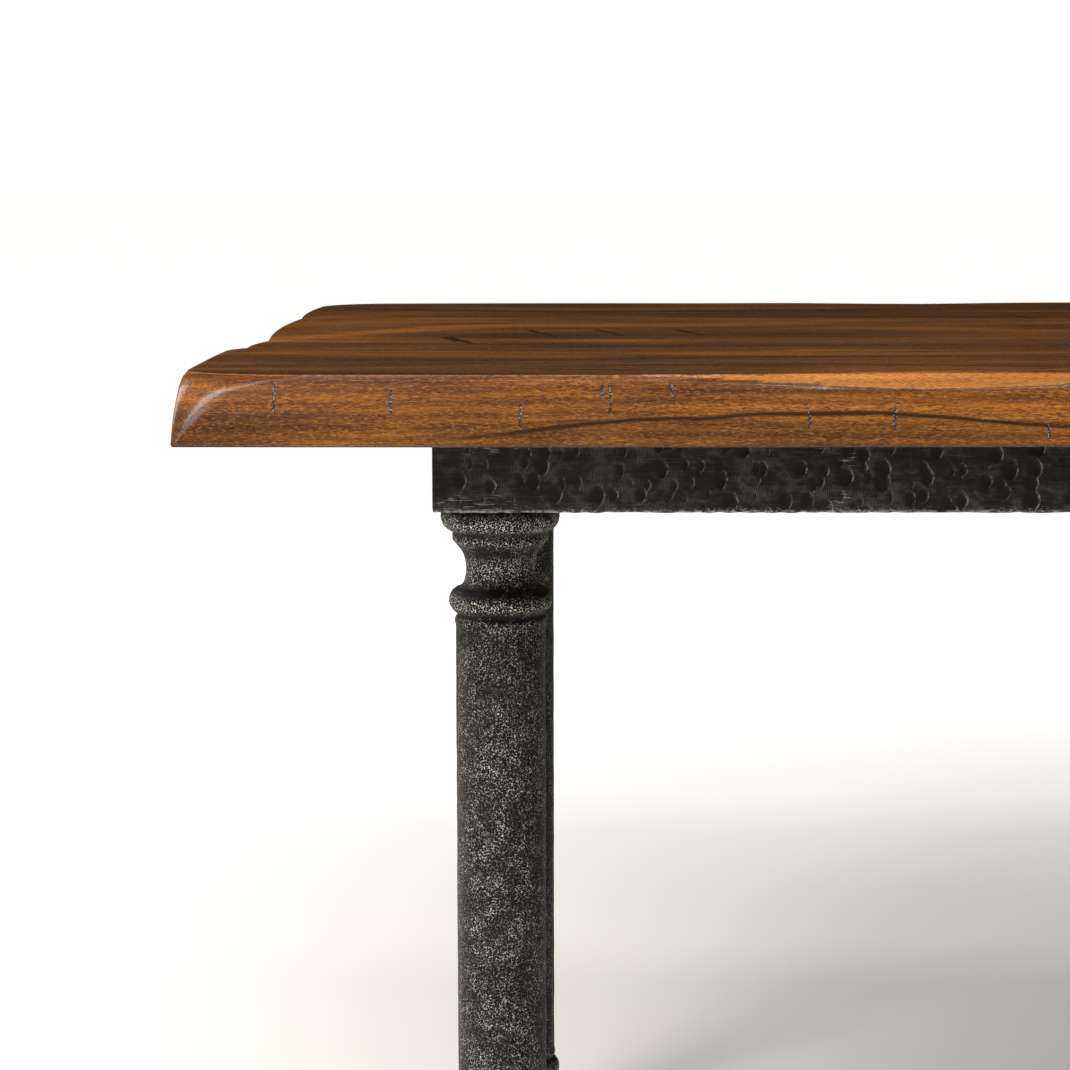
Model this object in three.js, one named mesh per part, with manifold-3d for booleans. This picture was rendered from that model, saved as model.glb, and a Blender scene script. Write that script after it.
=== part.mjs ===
// A work table: a plank top with carved, wavy edges on a black apron frame, carried by four turned
// cast-iron columns that stand on screw levelling feet.
// Millimetres, +Z up, +X along the length, the front faces -Y, the origin is on the floor under the centre.

import * as THREE from "three";
import { mergeVertices } from "three/addons/utils/BufferGeometryUtils.js";
import Module from "manifold-3d";

const wasm = await Module();
wasm.setup();

// ---- driving dimensions ----
const LENGTH = 1524;
const WIDTH = 910;
const HEIGHT = 762;
const TOP_THICKNESS = 45;
const BOARDS = 5;
const OVERHANG = 156; // from the top's edge in to the apron's outer face
const APRON_HEIGHT = 61;
const APRON_THICKNESS = 26;
const LEG_INSET = 45; // from the apron's outer face in to the leg's axis
const COLUMN_RADIUS = 31.75;
const FOOT_HEIGHT = 16; // floor to the underside of the casting
const GAP = 0.3; // clearance round a glued, pushed or screwed piece

// ---- levels and places that follow from them ----
const UNDERSIDE = HEIGHT - TOP_THICKNESS;
const APRON_BOTTOM = UNDERSIDE - APRON_HEIGHT;
const FRAME_X = LENGTH / 2 - OVERHANG;
const FRAME_Y = WIDTH / 2 - OVERHANG;
const INNER_X = FRAME_X - APRON_THICKNESS;
const INNER_Y = FRAME_Y - APRON_THICKNESS;
const QUARTER = Math.PI / 2;
// Each corner of the frame is the front left one turned about the table's centre.
const CORNERS = [
  { name: "front_left", x: -1, y: -1, turn: 0 },
  { name: "front_right", x: 1, y: -1, turn: QUARTER },
  { name: "back_right", x: 1, y: 1, turn: 2 * QUARTER },
  { name: "back_left", x: -1, y: 1, turn: 3 * QUARTER },
];

const finish = (color, roughness, metalness) =>
  new THREE.MeshStandardMaterial({ color, roughness, metalness });
const WALNUT = finish(0x6b4426, 0.35, 0);
const BLACK_WOOD = finish(0x2b2927, 0.6, 0);
const FRAME_WOOD = finish(0x4a3828, 0.75, 0);
const IRON = finish(0x3e3c3a, 0.5, 0.8);
const STEEL = finish(0x9a9c9e, 0.35, 1);
const NYLON = finish(0x161616, 0.7, 0);

const table = new THREE.Group();

// Adds a piece to a group, moved to x and y and turned about its own Z.
function add(group, name, geometry, material, { x = 0, y = 0, turn = 0 } = {}) {
  const mesh = new THREE.Mesh(geometry, material);
  mesh.name = name;
  mesh.position.set(x, y, 0);
  mesh.rotation.z = turn;
  group.add(mesh);
}

// ---- solids ----
function toSolid(geometry) {
  const bare = geometry.index ? geometry.toNonIndexed() : geometry.clone();
  bare.deleteAttribute("normal");
  bare.deleteAttribute("uv");
  const merged = mergeVertices(bare, 1e-3);
  return new wasm.Manifold(
    new wasm.Mesh({
      numProp: 3,
      vertProperties: merged.attributes.position.array,
      triVerts: new Uint32Array(merged.index.array),
    }),
  );
}

function toGeometry(solid) {
  const mesh = solid.getMesh();
  return new THREE.BufferGeometry()
    .setAttribute("position", new THREE.BufferAttribute(new Float32Array(mesh.vertProperties), 3))
    .setIndex(new THREE.BufferAttribute(new Uint32Array(mesh.triVerts), 1));
}

function cut(geometry, tools) {
  return toGeometry(tools.reduce((solid, tool) => solid.subtract(toSolid(tool)), toSolid(geometry)));
}

function join(geometries) {
  return toGeometry(geometries.map(toSolid).reduce((whole, solid) => whole.add(solid)));
}

// A box from its lowest to its highest corner.
function box(low, high) {
  const size = high.map((v, i) => v - low[i]);
  const centre = high.map((v, i) => (v + low[i]) / 2);
  return new THREE.BoxGeometry(...size).translate(...centre);
}

// An upright cylinder, or a hexagonal prism with 6 sides, from z0 to z1.
function rod(radius, z0, z1, sides = 16) {
  const upright = new THREE.CylinderGeometry(radius, radius, z1 - z0, sides).rotateX(QUARTER);
  return upright.translate(0, 0, (z0 + z1) / 2);
}

// A turned shape about Z, from a profile of [radius, z] that runs upwards along its outside.
function turned(profile, sides) {
  return new THREE.LatheGeometry(profile.map(([r, z]) => new THREE.Vector2(r, z)), sides).rotateX(QUARTER);
}

// ---- the top's outline ----
// Each side is a run of carved lobes that meet at cusps. A lobe is [its end as a share of the side, how far
// in the edge is there, how far the lobe swells out between its ends, how square its shoulders are].
// A side's lean is how much of the edge's section it has.
// The sides run anticlockwise seen from above.
const SIDES = [
  {
    name: "front",
    length: LENGTH,
    lean: 1,
    start: 2,
    lobes: [[0.4, 3, 2.5, 2], [0.73, 2.5, 2, 2], [1, 3, 2, 2]],
  },
  {
    name: "right",
    length: WIDTH,
    lean: 1,
    start: 6,
    lobes: [[0.21, 15, 8, 4], [0.33, 19, 2, 2], [0.7, 12, 9, 2], [1, 8, 6, 2]],
  },
  {
    name: "back",
    length: LENGTH,
    lean: 1,
    start: 6,
    lobes: [[0.3, 5, 4, 2], [0.62, 3, 4, 2], [0.8, 6, 2, 2], [1, 4, 3.5, 2]],
  },
  {
    name: "left",
    length: WIDTH,
    lean: 0.7,
    start: 12.5,
    lobes: [
      [0.243, 13.8, 3.5, 2], [0.627, 19.5, 6, 2], [0.73, 13, 2.6, 2],
      [0.775, 1.5, 3.2, 2], [1, 0.5, 0.8, 2],
    ],
  },
];
// Where the upper edge is scooped wider: a share of a side, half its length, its extra drop and width.
const SCOOPS = [
  { side: "front", share: 0.29, reach: 190, drop: 4.5, widen: 28 },
  { side: "front", share: 0.76, reach: 150, drop: 3.5, widen: 20 },
  { side: "right", share: 0.5, reach: 120, drop: 4, widen: 20 },
  { side: "back", share: 0.22, reach: 170, drop: 4.5, widen: 24 },
  { side: "back", share: 0.66, reach: 140, drop: 3.5, widen: 18 },
];
// Corner radii at the underside and at the upper face, from the front left corner anticlockwise.
const CORNER_RADII = [[4, 50], [20, 38], [10, 22], [40, 65]];
const CORNER_STEPS = 5;
const LOBE_STEP = 45;
// The edge's section: [height above the underside, how far in it is], up to the ridge and then the face.
const EDGE = [[0, 1.2], [1.5, 0], [14, 0.4], [28, 2.4], [41.5, 5], [TOP_THICKNESS, 7.4]];
const RIDGE = EDGE.length - 2;
const FACE = EDGE.length - 1;

// How far the outline is in from a side's line.
function lobeInset(side, share) {
  let [from, inset] = [0, side.start];
  for (const [to, next, swell, shoulder] of side.lobes) {
    if (share <= to) {
      const t = (share - from) / (to - from);
      return inset + (next - inset) * t - swell * (1 - Math.abs(2 * t - 1) ** shoulder);
    }
    [from, inset] = [to, next];
  }
  return inset;
}

// The shares of a side at which its outline is drawn, with every cusp among them.
function sideShares(side) {
  const shares = [0];
  for (const [to] of side.lobes) {
    const from = shares.at(-1);
    const steps = Math.max(2, Math.round(((to - from) * side.length) / LOBE_STEP));
    for (let i = 1; i <= steps; i++) shares.push(from + ((to - from) * i) / steps);
  }
  return shares;
}

// The same inset with the side's outermost point brought to 0.
function trueInset(side, share) {
  return lobeInset(side, share) - Math.min(...sideShares(side).map((other) => lobeInset(side, other)));
}

function scoopAt(side, share) {
  let [drop, widen] = [0, 0];
  for (const scoop of SCOOPS.filter((other) => other.side === side.name)) {
    const distance = Math.abs(share - scoop.share) * side.length;
    const weight = distance < scoop.reach ? 0.5 + 0.5 * Math.cos((Math.PI * distance) / scoop.reach) : 0;
    drop += weight * scoop.drop;
    widen += weight * scoop.widen;
  }
  return { drop, widen };
}

// The outline at one level of the edge's section, as points [x, y, z].
function outline(level) {
  const [height, bevel] = EDGE[level];
  const radii = CORNER_RADII.map(([low, high]) => low + ((high - low) * height) / TOP_THICKNESS);
  const points = [];
  SIDES.forEach((side, i) => {
    const [before, after] = [SIDES[(i + 3) % 4], SIDES[(i + 1) % 4]];
    const [startRadius, endRadius] = [radii[i], radii[(i + 1) % 4]];
    const first = trueInset(before, 1) + bevel * before.lean + startRadius;
    const last = side.length - trueInset(after, 0) - bevel * after.lean - endRadius;
    // A place along this side and in from its line, turned into the table's own frame.
    const place = (along, inset, drop = 0) => {
      const [u, v] = [along - side.length / 2, inset - after.length / 2];
      const point = new THREE.Vector3(u, v, UNDERSIDE + height - drop);
      points.push(point.applyAxisAngle(new THREE.Vector3(0, 0, 1), i * QUARTER).toArray());
    };
    for (const share of sideShares(side)) {
      const { drop, widen } = scoopAt(side, share);
      const inset = trueInset(side, share) + bevel * side.lean + (level === FACE ? widen : 0);
      place(first + (last - first) * share, inset, level === RIDGE ? drop : 0);
    }
    for (let k = 1; k < CORNER_STEPS; k++) {
      const angle = (k * QUARTER) / CORNER_STEPS;
      const inset = trueInset(side, 1) + bevel * side.lean + endRadius * (1 - Math.cos(angle));
      place(last + endRadius * Math.sin(angle), inset);
    }
  });
  return points;
}

function wholeTop() {
  const rings = EDGE.map((_, level) => outline(level));
  const count = rings[0].length;
  const index = [];
  for (let level = 0; level < FACE; level++) {
    for (let i = 0; i < count; i++) {
      const [a, b] = [level * count + i, level * count + ((i + 1) % count)];
      index.push(a, b, b + count, a, b + count, a + count);
    }
  }
  const flat = (ring) => ring.map(([x, y]) => new THREE.Vector2(x, y));
  for (const [a, b, c] of THREE.ShapeUtils.triangulateShape(flat(rings[0]), [])) index.push(c, b, a);
  for (const face of THREE.ShapeUtils.triangulateShape(flat(rings[FACE]), [])) {
    index.push(...face.map((v) => v + FACE * count));
  }
  const geometry = new THREE.BufferGeometry();
  geometry.setAttribute("position", new THREE.Float32BufferAttribute(rings.flat(2), 3));
  geometry.setIndex(index);
  return geometry;
}

// ---- Z clips that hold the top to the aprons and let it move with the seasons ----
const CLIP = { width: 22, thick: 2, tongue: 8, flange: 24, drop: 14, webGap: 1 };
const SCREW = { radius: 2.2, head: 4.6, headHeight: 2.6, length: 24, setBack: 15 };
const CLIP_SPACING = 300;
// A clip's origin is on the inner face of its apron, with +Y pointing into the apron.
const CLIPS = [
  ...[-1, 0, 1].map((step) => ({ apron: "front", x: step * CLIP_SPACING, y: -INNER_Y, turn: 2 * QUARTER })),
  ...[-1, 0, 1].map((step) => ({ apron: "back", x: step * CLIP_SPACING, y: INNER_Y, turn: 0 })),
  { apron: "left", x: -INNER_X, y: 0, turn: QUARTER },
  { apron: "right", x: INNER_X, y: 0, turn: -QUARTER },
];

function placed(geometry, { x, y, turn }) {
  return geometry.rotateZ(turn).translate(x, y, 0);
}

// The slot in an apron that takes a clip's tongue.
function clipSlot(place) {
  const z = UNDERSIDE - CLIP.drop;
  const side = CLIP.width / 2 + 2;
  return placed(box([-side, -1, z - GAP], [side, CLIP.tongue + 2, z + CLIP.thick + GAP]), place);
}

function clipSlots(apron) {
  return CLIPS.filter((place) => place.apron === apron).map(clipSlot);
}

// The clip is bent to a Z: a tongue in the slot, a web, and a flange under the top.
function clipGeometry() {
  const [thick, top, low] = [CLIP.thick, UNDERSIDE - GAP, UNDERSIDE - CLIP.drop];
  const section = new THREE.Shape();
  section.moveTo(CLIP.tongue, low);
  section.lineTo(CLIP.tongue, low + thick);
  section.lineTo(-CLIP.webGap, low + thick);
  section.lineTo(-CLIP.webGap, top);
  section.lineTo(-CLIP.flange, top);
  section.lineTo(-CLIP.flange, top - thick);
  section.lineTo(-CLIP.webGap - thick, top - thick);
  section.lineTo(-CLIP.webGap - thick, low);
  const bent = new THREE.ExtrudeGeometry(section, { depth: CLIP.width, bevelEnabled: false });
  bent.rotateX(QUARTER).rotateZ(QUARTER).translate(-CLIP.width / 2, 0, 0);
  const hole = rod(SCREW.radius + 2 * GAP, top - thick - 1, top + 1, 12);
  return cut(bent, [hole.translate(0, -SCREW.setBack, 0)]);
}

function screwGeometry() {
  const seat = UNDERSIDE - GAP - CLIP.thick - 0.1;
  const tip = seat + SCREW.length - 3;
  const profile = [
    [0, seat - SCREW.headHeight], [SCREW.head - 1.2, seat - SCREW.headHeight], [SCREW.head, seat - 1],
    [SCREW.head, seat], [SCREW.radius, seat], [SCREW.radius, tip - 5], [0, tip],
  ];
  return turned(profile, 8).translate(0, -SCREW.setBack, 0);
}

function screwHole(place) {
  const hole = rod(SCREW.radius + GAP, UNDERSIDE - 1, UNDERSIDE + SCREW.length, 8);
  return placed(hole.translate(0, -SCREW.setBack, 0), place);
}

function addClips() {
  const [clip, screw] = [clipGeometry(), screwGeometry()];
  CLIPS.forEach((place, i) => {
    add(table, `top_clip_${i + 1}`, clip, STEEL, place);
    add(table, `top_clip_screw_${i + 1}`, screw, STEEL, place);
  });
}

// ---- the top, made of boards glued edge to edge ----
function addTop() {
  const top = toSolid(cut(wholeTop(), CLIPS.map(screwHole)));
  const width = WIDTH / BOARDS;
  for (let i = 0; i < BOARDS; i++) {
    const y = -WIDTH / 2 + i * width;
    const board = top.intersect(toSolid(box([-LENGTH, y, 0], [LENGTH, y + width, 2 * HEIGHT])));
    add(table, `top_board_${i + 1}`, toGeometry(board), WALNUT);
  }
}

// ---- the apron frame: end aprons and cross rails tenoned into the two long aprons ----
const TENON = { length: 12, thick: 10, height: 38 };
const CROSS_RAIL = { x: 200, thick: 30, height: 50 };

// A tenon that stands out of an inner face of the long aprons, or with a gap all round its mortise.
function tenon(x, side, gap = 0) {
  const middle = APRON_BOTTOM + APRON_HEIGHT / 2;
  const across = [side * (INNER_Y - 1), side * (INNER_Y + TENON.length + gap)];
  const [thick, high] = [TENON.thick / 2 + gap, TENON.height / 2 + gap];
  const [near, far] = across.sort((a, b) => a - b);
  return box([x - thick, near, middle - high], [x + thick, far, middle + high]);
}

// A rail between the long aprons, from x0 to x1, with a tenon at each end.
function rail(x0, x1, height) {
  const body = box([x0, -INNER_Y + GAP, UNDERSIDE - height], [x1, INNER_Y - GAP, UNDERSIDE]);
  const middle = (x0 + x1) / 2;
  return join([body, tenon(middle, -1), tenon(middle, 1)]);
}

function addFrame() {
  const endMiddle = FRAME_X - APRON_THICKNESS / 2;
  for (const [name, side] of [["front", -1], ["back", 1]]) {
    const [low, high] = side < 0 ? [-FRAME_Y, -INNER_Y] : [INNER_Y, FRAME_Y];
    const long = box([-FRAME_X, low, APRON_BOTTOM], [FRAME_X, high, UNDERSIDE]);
    const mortises = [-endMiddle, -CROSS_RAIL.x, CROSS_RAIL.x, endMiddle].map((x) => tenon(x, side, GAP));
    add(table, `apron_${name}`, cut(long, [...mortises, ...clipSlots(name)]), BLACK_WOOD);
  }
  for (const [name, side] of [["left", -1], ["right", 1]]) {
    const [low, high] = side < 0 ? [-FRAME_X, -INNER_X] : [INNER_X, FRAME_X];
    add(table, `apron_${name}`, cut(rail(low, high, APRON_HEIGHT), clipSlots(name)), BLACK_WOOD);
    const middle = side * CROSS_RAIL.x;
    const half = CROSS_RAIL.thick / 2;
    add(table, `cross_rail_${name}`, rail(middle - half, middle + half, CROSS_RAIL.height), FRAME_WOOD);
  }
}

// ---- corner blocks and the bolts that hold the legs, about a leg's own axis, at the front left corner ----
const BLOCK = { size: 75, chamfer: 28 };
const SPIGOT = { radius: 15, height: 20 };
const BOLT = { radius: 6, hex: 11, headHeight: 8, recess: 13, recessRadius: 15, below: 16 };
const WASHER = { radius: 12.5, thick: 2.5 };
const BOLT_SEAT = UNDERSIDE - BOLT.recess;

function blockGeometry() {
  const outer = APRON_THICKNESS + GAP - LEG_INSET;
  const inner = outer + BLOCK.size;
  const plan = new THREE.Shape();
  plan.moveTo(outer, outer);
  plan.lineTo(inner, outer);
  plan.lineTo(inner, inner - BLOCK.chamfer);
  plan.lineTo(inner - BLOCK.chamfer, inner);
  plan.lineTo(outer, inner);
  const block = new THREE.ExtrudeGeometry(plan, { depth: APRON_HEIGHT, bevelEnabled: false });
  return cut(block.translate(0, 0, APRON_BOTTOM), [
    rod(SPIGOT.radius + GAP, APRON_BOTTOM - 1, APRON_BOTTOM + SPIGOT.height + GAP, 20),
    rod(BOLT.radius + GAP, APRON_BOTTOM, UNDERSIDE + 1, 12),
    rod(BOLT.recessRadius, BOLT_SEAT, UNDERSIDE + 1, 20),
  ]);
}

function washerGeometry() {
  const disc = rod(WASHER.radius, BOLT_SEAT, BOLT_SEAT + WASHER.thick, 20);
  return cut(disc, [rod(BOLT.radius + GAP, BOLT_SEAT - 1, BOLT_SEAT + WASHER.thick + 1, 12)]);
}

function boltGeometry() {
  const underHead = BOLT_SEAT + WASHER.thick;
  const shank = rod(BOLT.radius, APRON_BOTTOM - BOLT.below, underHead + 1, 12);
  return join([shank, rod(BOLT.hex, underHead, underHead + BOLT.headHeight, 6)]);
}

// ---- cast-iron legs ----
const LEG_SIDES = 20;
const CORE_RADIUS = 20;
const CORE_TOP = APRON_BOTTOM - 78;
const TAPPED_DEPTH = 40;
// The turned head, from the seat under the apron down to the column: [radius, distance below the seat].
const HEAD_TURNING = [
  [39, 0], [42, 5], [42, 10], [35, 19.2], // collar
  [34.8, 24], [28.9, 31.6], [25.4, 39], [24.8, 47], [27, 56.5], // fillet and neck
  [34.6, 62.4], [36.8, 67], [36.8, 71], [32.4, 78], // ring
  [33, 81], [COLUMN_RADIUS, 85], // astragal
];

function legGeometry() {
  const seat = APRON_BOTTOM;
  const head = HEAD_TURNING.map(([r, down]) => [r, seat - down]).reverse();
  // The foot of the column is the head's turning the other way up.
  const foot = HEAD_TURNING.map(([r, down]) => [r, FOOT_HEIGHT + down]);
  const spigotTop = seat + SPIGOT.height;
  return turned([
    [0, CORE_TOP], [CORE_RADIUS, CORE_TOP - 12], [CORE_RADIUS, FOOT_HEIGHT], ...foot, ...head,
    [SPIGOT.radius, seat], [SPIGOT.radius, spigotTop], [BOLT.radius + GAP, spigotTop],
    [BOLT.radius + GAP, spigotTop - TAPPED_DEPTH], [0, spigotTop - TAPPED_DEPTH - 3],
  ], LEG_SIDES);
}

// ---- levelling feet: a threaded plug in the core, a stud screwed through it, a pad on the stud's end ----
const PLUG = { recess: 2, length: 25 };
const STUD = { radius: 5, length: 44, hex: 8.5, hexHeight: 5, end: 6.5 };
const PAD = { radius: 24, rim: 4, top: 9.5, collar: 11, floor: 3.7 };

function plugGeometry() {
  const [bore, rim] = [STUD.radius + GAP, CORE_RADIUS - GAP];
  const bottom = FOOT_HEIGHT + PLUG.recess;
  const top = bottom + PLUG.length;
  return turned([[bore, bottom], [rim, bottom], [rim, top], [bore, top], [bore, bottom]], LEG_SIDES);
}

function studGeometry() {
  const hexTop = FOOT_HEIGHT - GAP;
  const hexBottom = hexTop - STUD.hexHeight;
  return join([
    rod(STUD.radius, hexBottom - 1, FOOT_HEIGHT + STUD.length, 12),
    rod(STUD.hex, hexBottom, hexTop, 6),
    rod(STUD.end, PAD.floor + GAP, hexBottom + 0.5, 12),
  ]);
}

function padGeometry() {
  const socket = STUD.end + GAP;
  return turned([
    [0, 0], [PAD.radius - 1.5, 0], [PAD.radius, 1.5], [PAD.radius, PAD.rim],
    [PAD.collar, PAD.top], [socket, PAD.top], [socket, PAD.floor], [0, PAD.floor],
  ], LEG_SIDES);
}

function addCorners() {
  const pieces = [
    ["corner_block", blockGeometry(), FRAME_WOOD],
    ["leg_washer", washerGeometry(), STEEL],
    ["leg_bolt", boltGeometry(), STEEL],
    ["leg", legGeometry(), IRON],
    ["foot_plug", plugGeometry(), STEEL],
    ["foot_stud", studGeometry(), STEEL],
    ["foot_pad", padGeometry(), NYLON],
  ];
  for (const corner of CORNERS) {
    const group = new THREE.Group();
    group.position.set(corner.x * (FRAME_X - LEG_INSET), corner.y * (FRAME_Y - LEG_INSET), 0);
    group.rotation.z = corner.turn;
    for (const [name, geometry, material] of pieces) add(group, `${name}_${corner.name}`, geometry, material);
    table.add(group);
  }
}

addTop();
addClips();
addFrame();
addCorners();

export default table;
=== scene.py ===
import math

import bpy
import bmesh
import numpy as np
from mathutils import Matrix, Vector


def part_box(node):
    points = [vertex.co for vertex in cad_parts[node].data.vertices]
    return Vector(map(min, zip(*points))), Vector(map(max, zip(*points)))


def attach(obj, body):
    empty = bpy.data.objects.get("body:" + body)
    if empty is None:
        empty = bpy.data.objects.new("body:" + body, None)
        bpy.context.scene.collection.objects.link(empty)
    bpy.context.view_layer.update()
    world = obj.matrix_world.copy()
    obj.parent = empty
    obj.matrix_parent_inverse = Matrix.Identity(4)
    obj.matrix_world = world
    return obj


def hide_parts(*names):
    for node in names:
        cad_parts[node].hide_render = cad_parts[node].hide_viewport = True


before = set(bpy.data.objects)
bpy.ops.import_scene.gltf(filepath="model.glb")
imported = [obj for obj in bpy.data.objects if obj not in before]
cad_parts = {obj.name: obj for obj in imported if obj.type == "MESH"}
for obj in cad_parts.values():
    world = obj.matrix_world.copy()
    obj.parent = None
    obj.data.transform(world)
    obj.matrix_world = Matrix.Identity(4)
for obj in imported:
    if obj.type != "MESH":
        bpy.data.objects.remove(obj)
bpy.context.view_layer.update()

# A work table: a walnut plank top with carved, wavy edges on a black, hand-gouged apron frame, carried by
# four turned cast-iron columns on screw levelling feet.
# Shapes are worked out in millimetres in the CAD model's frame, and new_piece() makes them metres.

MM = 0.001
SEED = 7
TABLE = "table"


# ---------------------------------------------------------------- sizes from the CAD model
def box_mm(node):
    """A CAD node's lowest and highest corners, in millimetres."""
    low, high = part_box(node)
    return np.array(low) / MM, np.array(high) / MM


BOARDS = [f"top_board_{i + 1}" for i in range(5)]
TOP_LOW = np.min([box_mm(node)[0] for node in BOARDS], axis=0)
TOP_HIGH = np.max([box_mm(node)[1] for node in BOARDS], axis=0)
LENGTH, WIDTH, THICKNESS = TOP_HIGH - TOP_LOW
UNDERSIDE, TOP = TOP_LOW[2], TOP_HIGH[2]
APRON_LOW, APRON_HIGH = box_mm("apron_front")
SEAT = APRON_LOW[2]  # the underside of the aprons, where the legs' heads sit
CORNERS = ["front_left", "front_right", "back_right", "back_left"]


def corner_axis(corner):
    """The x and y of a leg's axis."""
    low, high = box_mm(f"leg_{corner}")
    return (low[:2] + high[:2]) / 2


# ---------------------------------------------------------------- smooth repeatable noise
def lattice(cell, seed):
    """A repeatable value from 0 to 1 for each whole-number place."""
    mixed = cell[:, 0] * 73856093 ^ cell[:, 1] * 19349663 ^ cell[:, 2] * 83492791 ^ seed * 2654435
    mixed = (mixed ^ (mixed >> 13)) * 1274126177 & 0x7FFFFFFF
    return ((mixed ^ (mixed >> 15)) & 0xFFFF) / 0xFFFF


def soft_noise(points, grain, seed):
    """Smooth noise from -1 to 1 at each point, with grains `grain` across: a size, or one for each axis."""
    place = np.asarray(points, float) / np.asarray(grain, float)
    cell = np.floor(place).astype(np.int64)
    part = place - cell
    part = part * part * (3 - 2 * part)
    total = np.zeros(len(place))
    for corner in np.ndindex(2, 2, 2):
        weight = np.prod(np.where(corner, part, 1 - part), axis=1)
        total += weight * lattice(cell + np.array(corner), seed)
    return 2 * total - 1


# ---------------------------------------------------------------- meshes
def new_piece(name, points, faces, body, material, nodes=(), sharp_angle=40, wear_and_painted_light=None):
    """A smooth-shaded piece from points in millimetres, riding on a body and standing for CAD nodes."""
    mesh = bpy.data.meshes.new(name)
    mesh.from_pydata((np.asarray(points, float) * MM).tolist(), [], faces)
    mesh.materials.append(material)
    if wear_and_painted_light is not None:
        mesh.attributes.new("wear_and_painted_light", "FLOAT", "POINT").data.foreach_set("value", wear_and_painted_light.astype(np.float32))
    return place_mesh(name, mesh, body, nodes, sharp_angle)


def add_object(name, data):
    added = bpy.data.objects.new(name, data)
    bpy.context.scene.collection.objects.link(added)
    return added


def place_mesh(name, mesh, body, nodes, sharp_angle):
    """Puts a finished mesh in the scene as a smooth-shaded piece."""
    mesh.polygons.foreach_set("use_smooth", [True] * len(mesh.polygons))
    mesh.set_sharp_from_angle(angle=math.radians(sharp_angle))
    piece = add_object(name, mesh)
    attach(piece, body)
    if nodes:
        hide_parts(*nodes)
    return piece


def ring_faces(rings, count, closed=False):
    """Quads between rings of `count` points each. The last ring joins the first if closed; otherwise one face
    closes the first ring and one the last."""
    faces = []
    for level in range(rings if closed else rings - 1):
        low = level * count
        high = (level + 1) % rings * count
        for i in range(count):
            j = (i + 1) % count
            faces.append((low + i, low + j, high + j, high + i))
    if not closed:
        faces.append(tuple(reversed(range(count))))
        faces.append(tuple(range((rings - 1) * count, rings * count)))
    return faces


def ring_piece(name, rings, body, material, node, sharp_angle=40, wear_and_painted_light=None, closed=False):
    """A piece made of an array of rings of points, standing for one CAD node."""
    faces = ring_faces(len(rings), rings.shape[1], closed)
    return new_piece(name, rings.reshape(-1, 3), faces, body, material, [node], sharp_angle, wear_and_painted_light)


def bezier(start, control, end, steps):
    """Points of a quadratic curve, without its start. Each end may be a point or a whole ring of points."""
    shares = np.arange(1, steps + 1) / steps
    return [(1 - t) ** 2 * start + 2 * t * (1 - t) * control + t**2 * end for t in shares]


def rounded_rings(rings, radii, fills, steps=4):
    """Rings with each one between the first and last spread to a rounded edge of about that radius, and
    `fills` more rings in each stretch between them."""
    path = [rings[0]]
    for k in range(1, len(rings)):
        start = path[-1]
        goal = rings[k]
        if k < len(rings) - 1:
            before, after = rings[k - 1] - rings[k], rings[k + 1] - rings[k]
            sizes = [np.linalg.norm(v, axis=1, keepdims=True) for v in (before, after)]
            reaches = [np.minimum(radii[k], 0.45 * size) / np.maximum(size, 1e-6) for size in sizes]
            goal, leave = rings[k] + before * reaches[0], rings[k] + after * reaches[1]
        path += [start + (goal - start) * i / (fills[k - 1] + 1) for i in range(1, fills[k - 1] + 2)]
        if k < len(rings) - 1:
            path += bezier(goal, rings[k], leave, steps)
    return path


def smooth_run(points, step):
    """A smooth curve through points, drawn about every `step`."""
    points = np.asarray(points, float)
    padded = np.vstack([2 * points[0] - points[1], points, 2 * points[-1] - points[-2]])
    run = [points[0]]
    for a, b, c, d in zip(padded, padded[1:], padded[2:], padded[3:]):
        steps = max(1, round(np.linalg.norm(c - b) / step))
        for t in np.arange(1, steps + 1) / steps:
            run.append(0.5 * (2 * b + (c - a) * t + (2 * a - 5 * b + 4 * c - d) * t**2
                              + (3 * b - a - 3 * c + d) * t**3))
    return run


def angles(sides):
    """The angles of points spread evenly round an axis."""
    return np.arange(sides) * 2 * math.pi / sides


def turned_points(profile, axis, sides):
    """A profile of [radius, z] points swept round an upright axis, as an array (points, sides, 3)."""
    turn = angles(sides)
    profile = np.asarray(profile, float)
    x = axis[0] + profile[:, :1] * np.cos(turn)
    y = axis[1] + profile[:, :1] * np.sin(turn)
    z = np.repeat(profile[:, 1:], sides, axis=1)
    return np.stack([x, y, z], axis=2)


def level_rings(levels, axis, turn):
    """Rings round an upright axis from (radius, z) levels. Each may be a number or one for each angle."""
    return np.array([np.stack([axis[0] + radius * np.cos(turn), axis[1] + radius * np.sin(turn),
                               np.broadcast_to(z, turn.shape)], axis=1) for radius, z in levels])


def rounded_profile(corners, step=None):
    """A profile of [radius, z, rounding] corners, with each corner rounded off."""
    places = [np.array([[r, z]], float) for r, z, _ in corners]
    radii = [c[2] for c in corners]
    fills = [0] * (len(corners) - 1)
    if step:
        gaps = [np.linalg.norm(b - a) for a, b in zip(places, places[1:])]
        fills = [int(gap // step) for gap in gaps]
    return [ring[0] for ring in rounded_rings(places, radii, fills, steps=4)]


# ---------------------------------------------------------------- materials
def paint(red, green, blue):
    """A linear colour from screen values of 0 to 255."""
    linear = [(v / 255 / 12.92) if v < 11 else ((v / 255 + 0.055) / 1.055) ** 2.4 for v in (red, green, blue)]
    return (*linear, 1.0)


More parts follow.
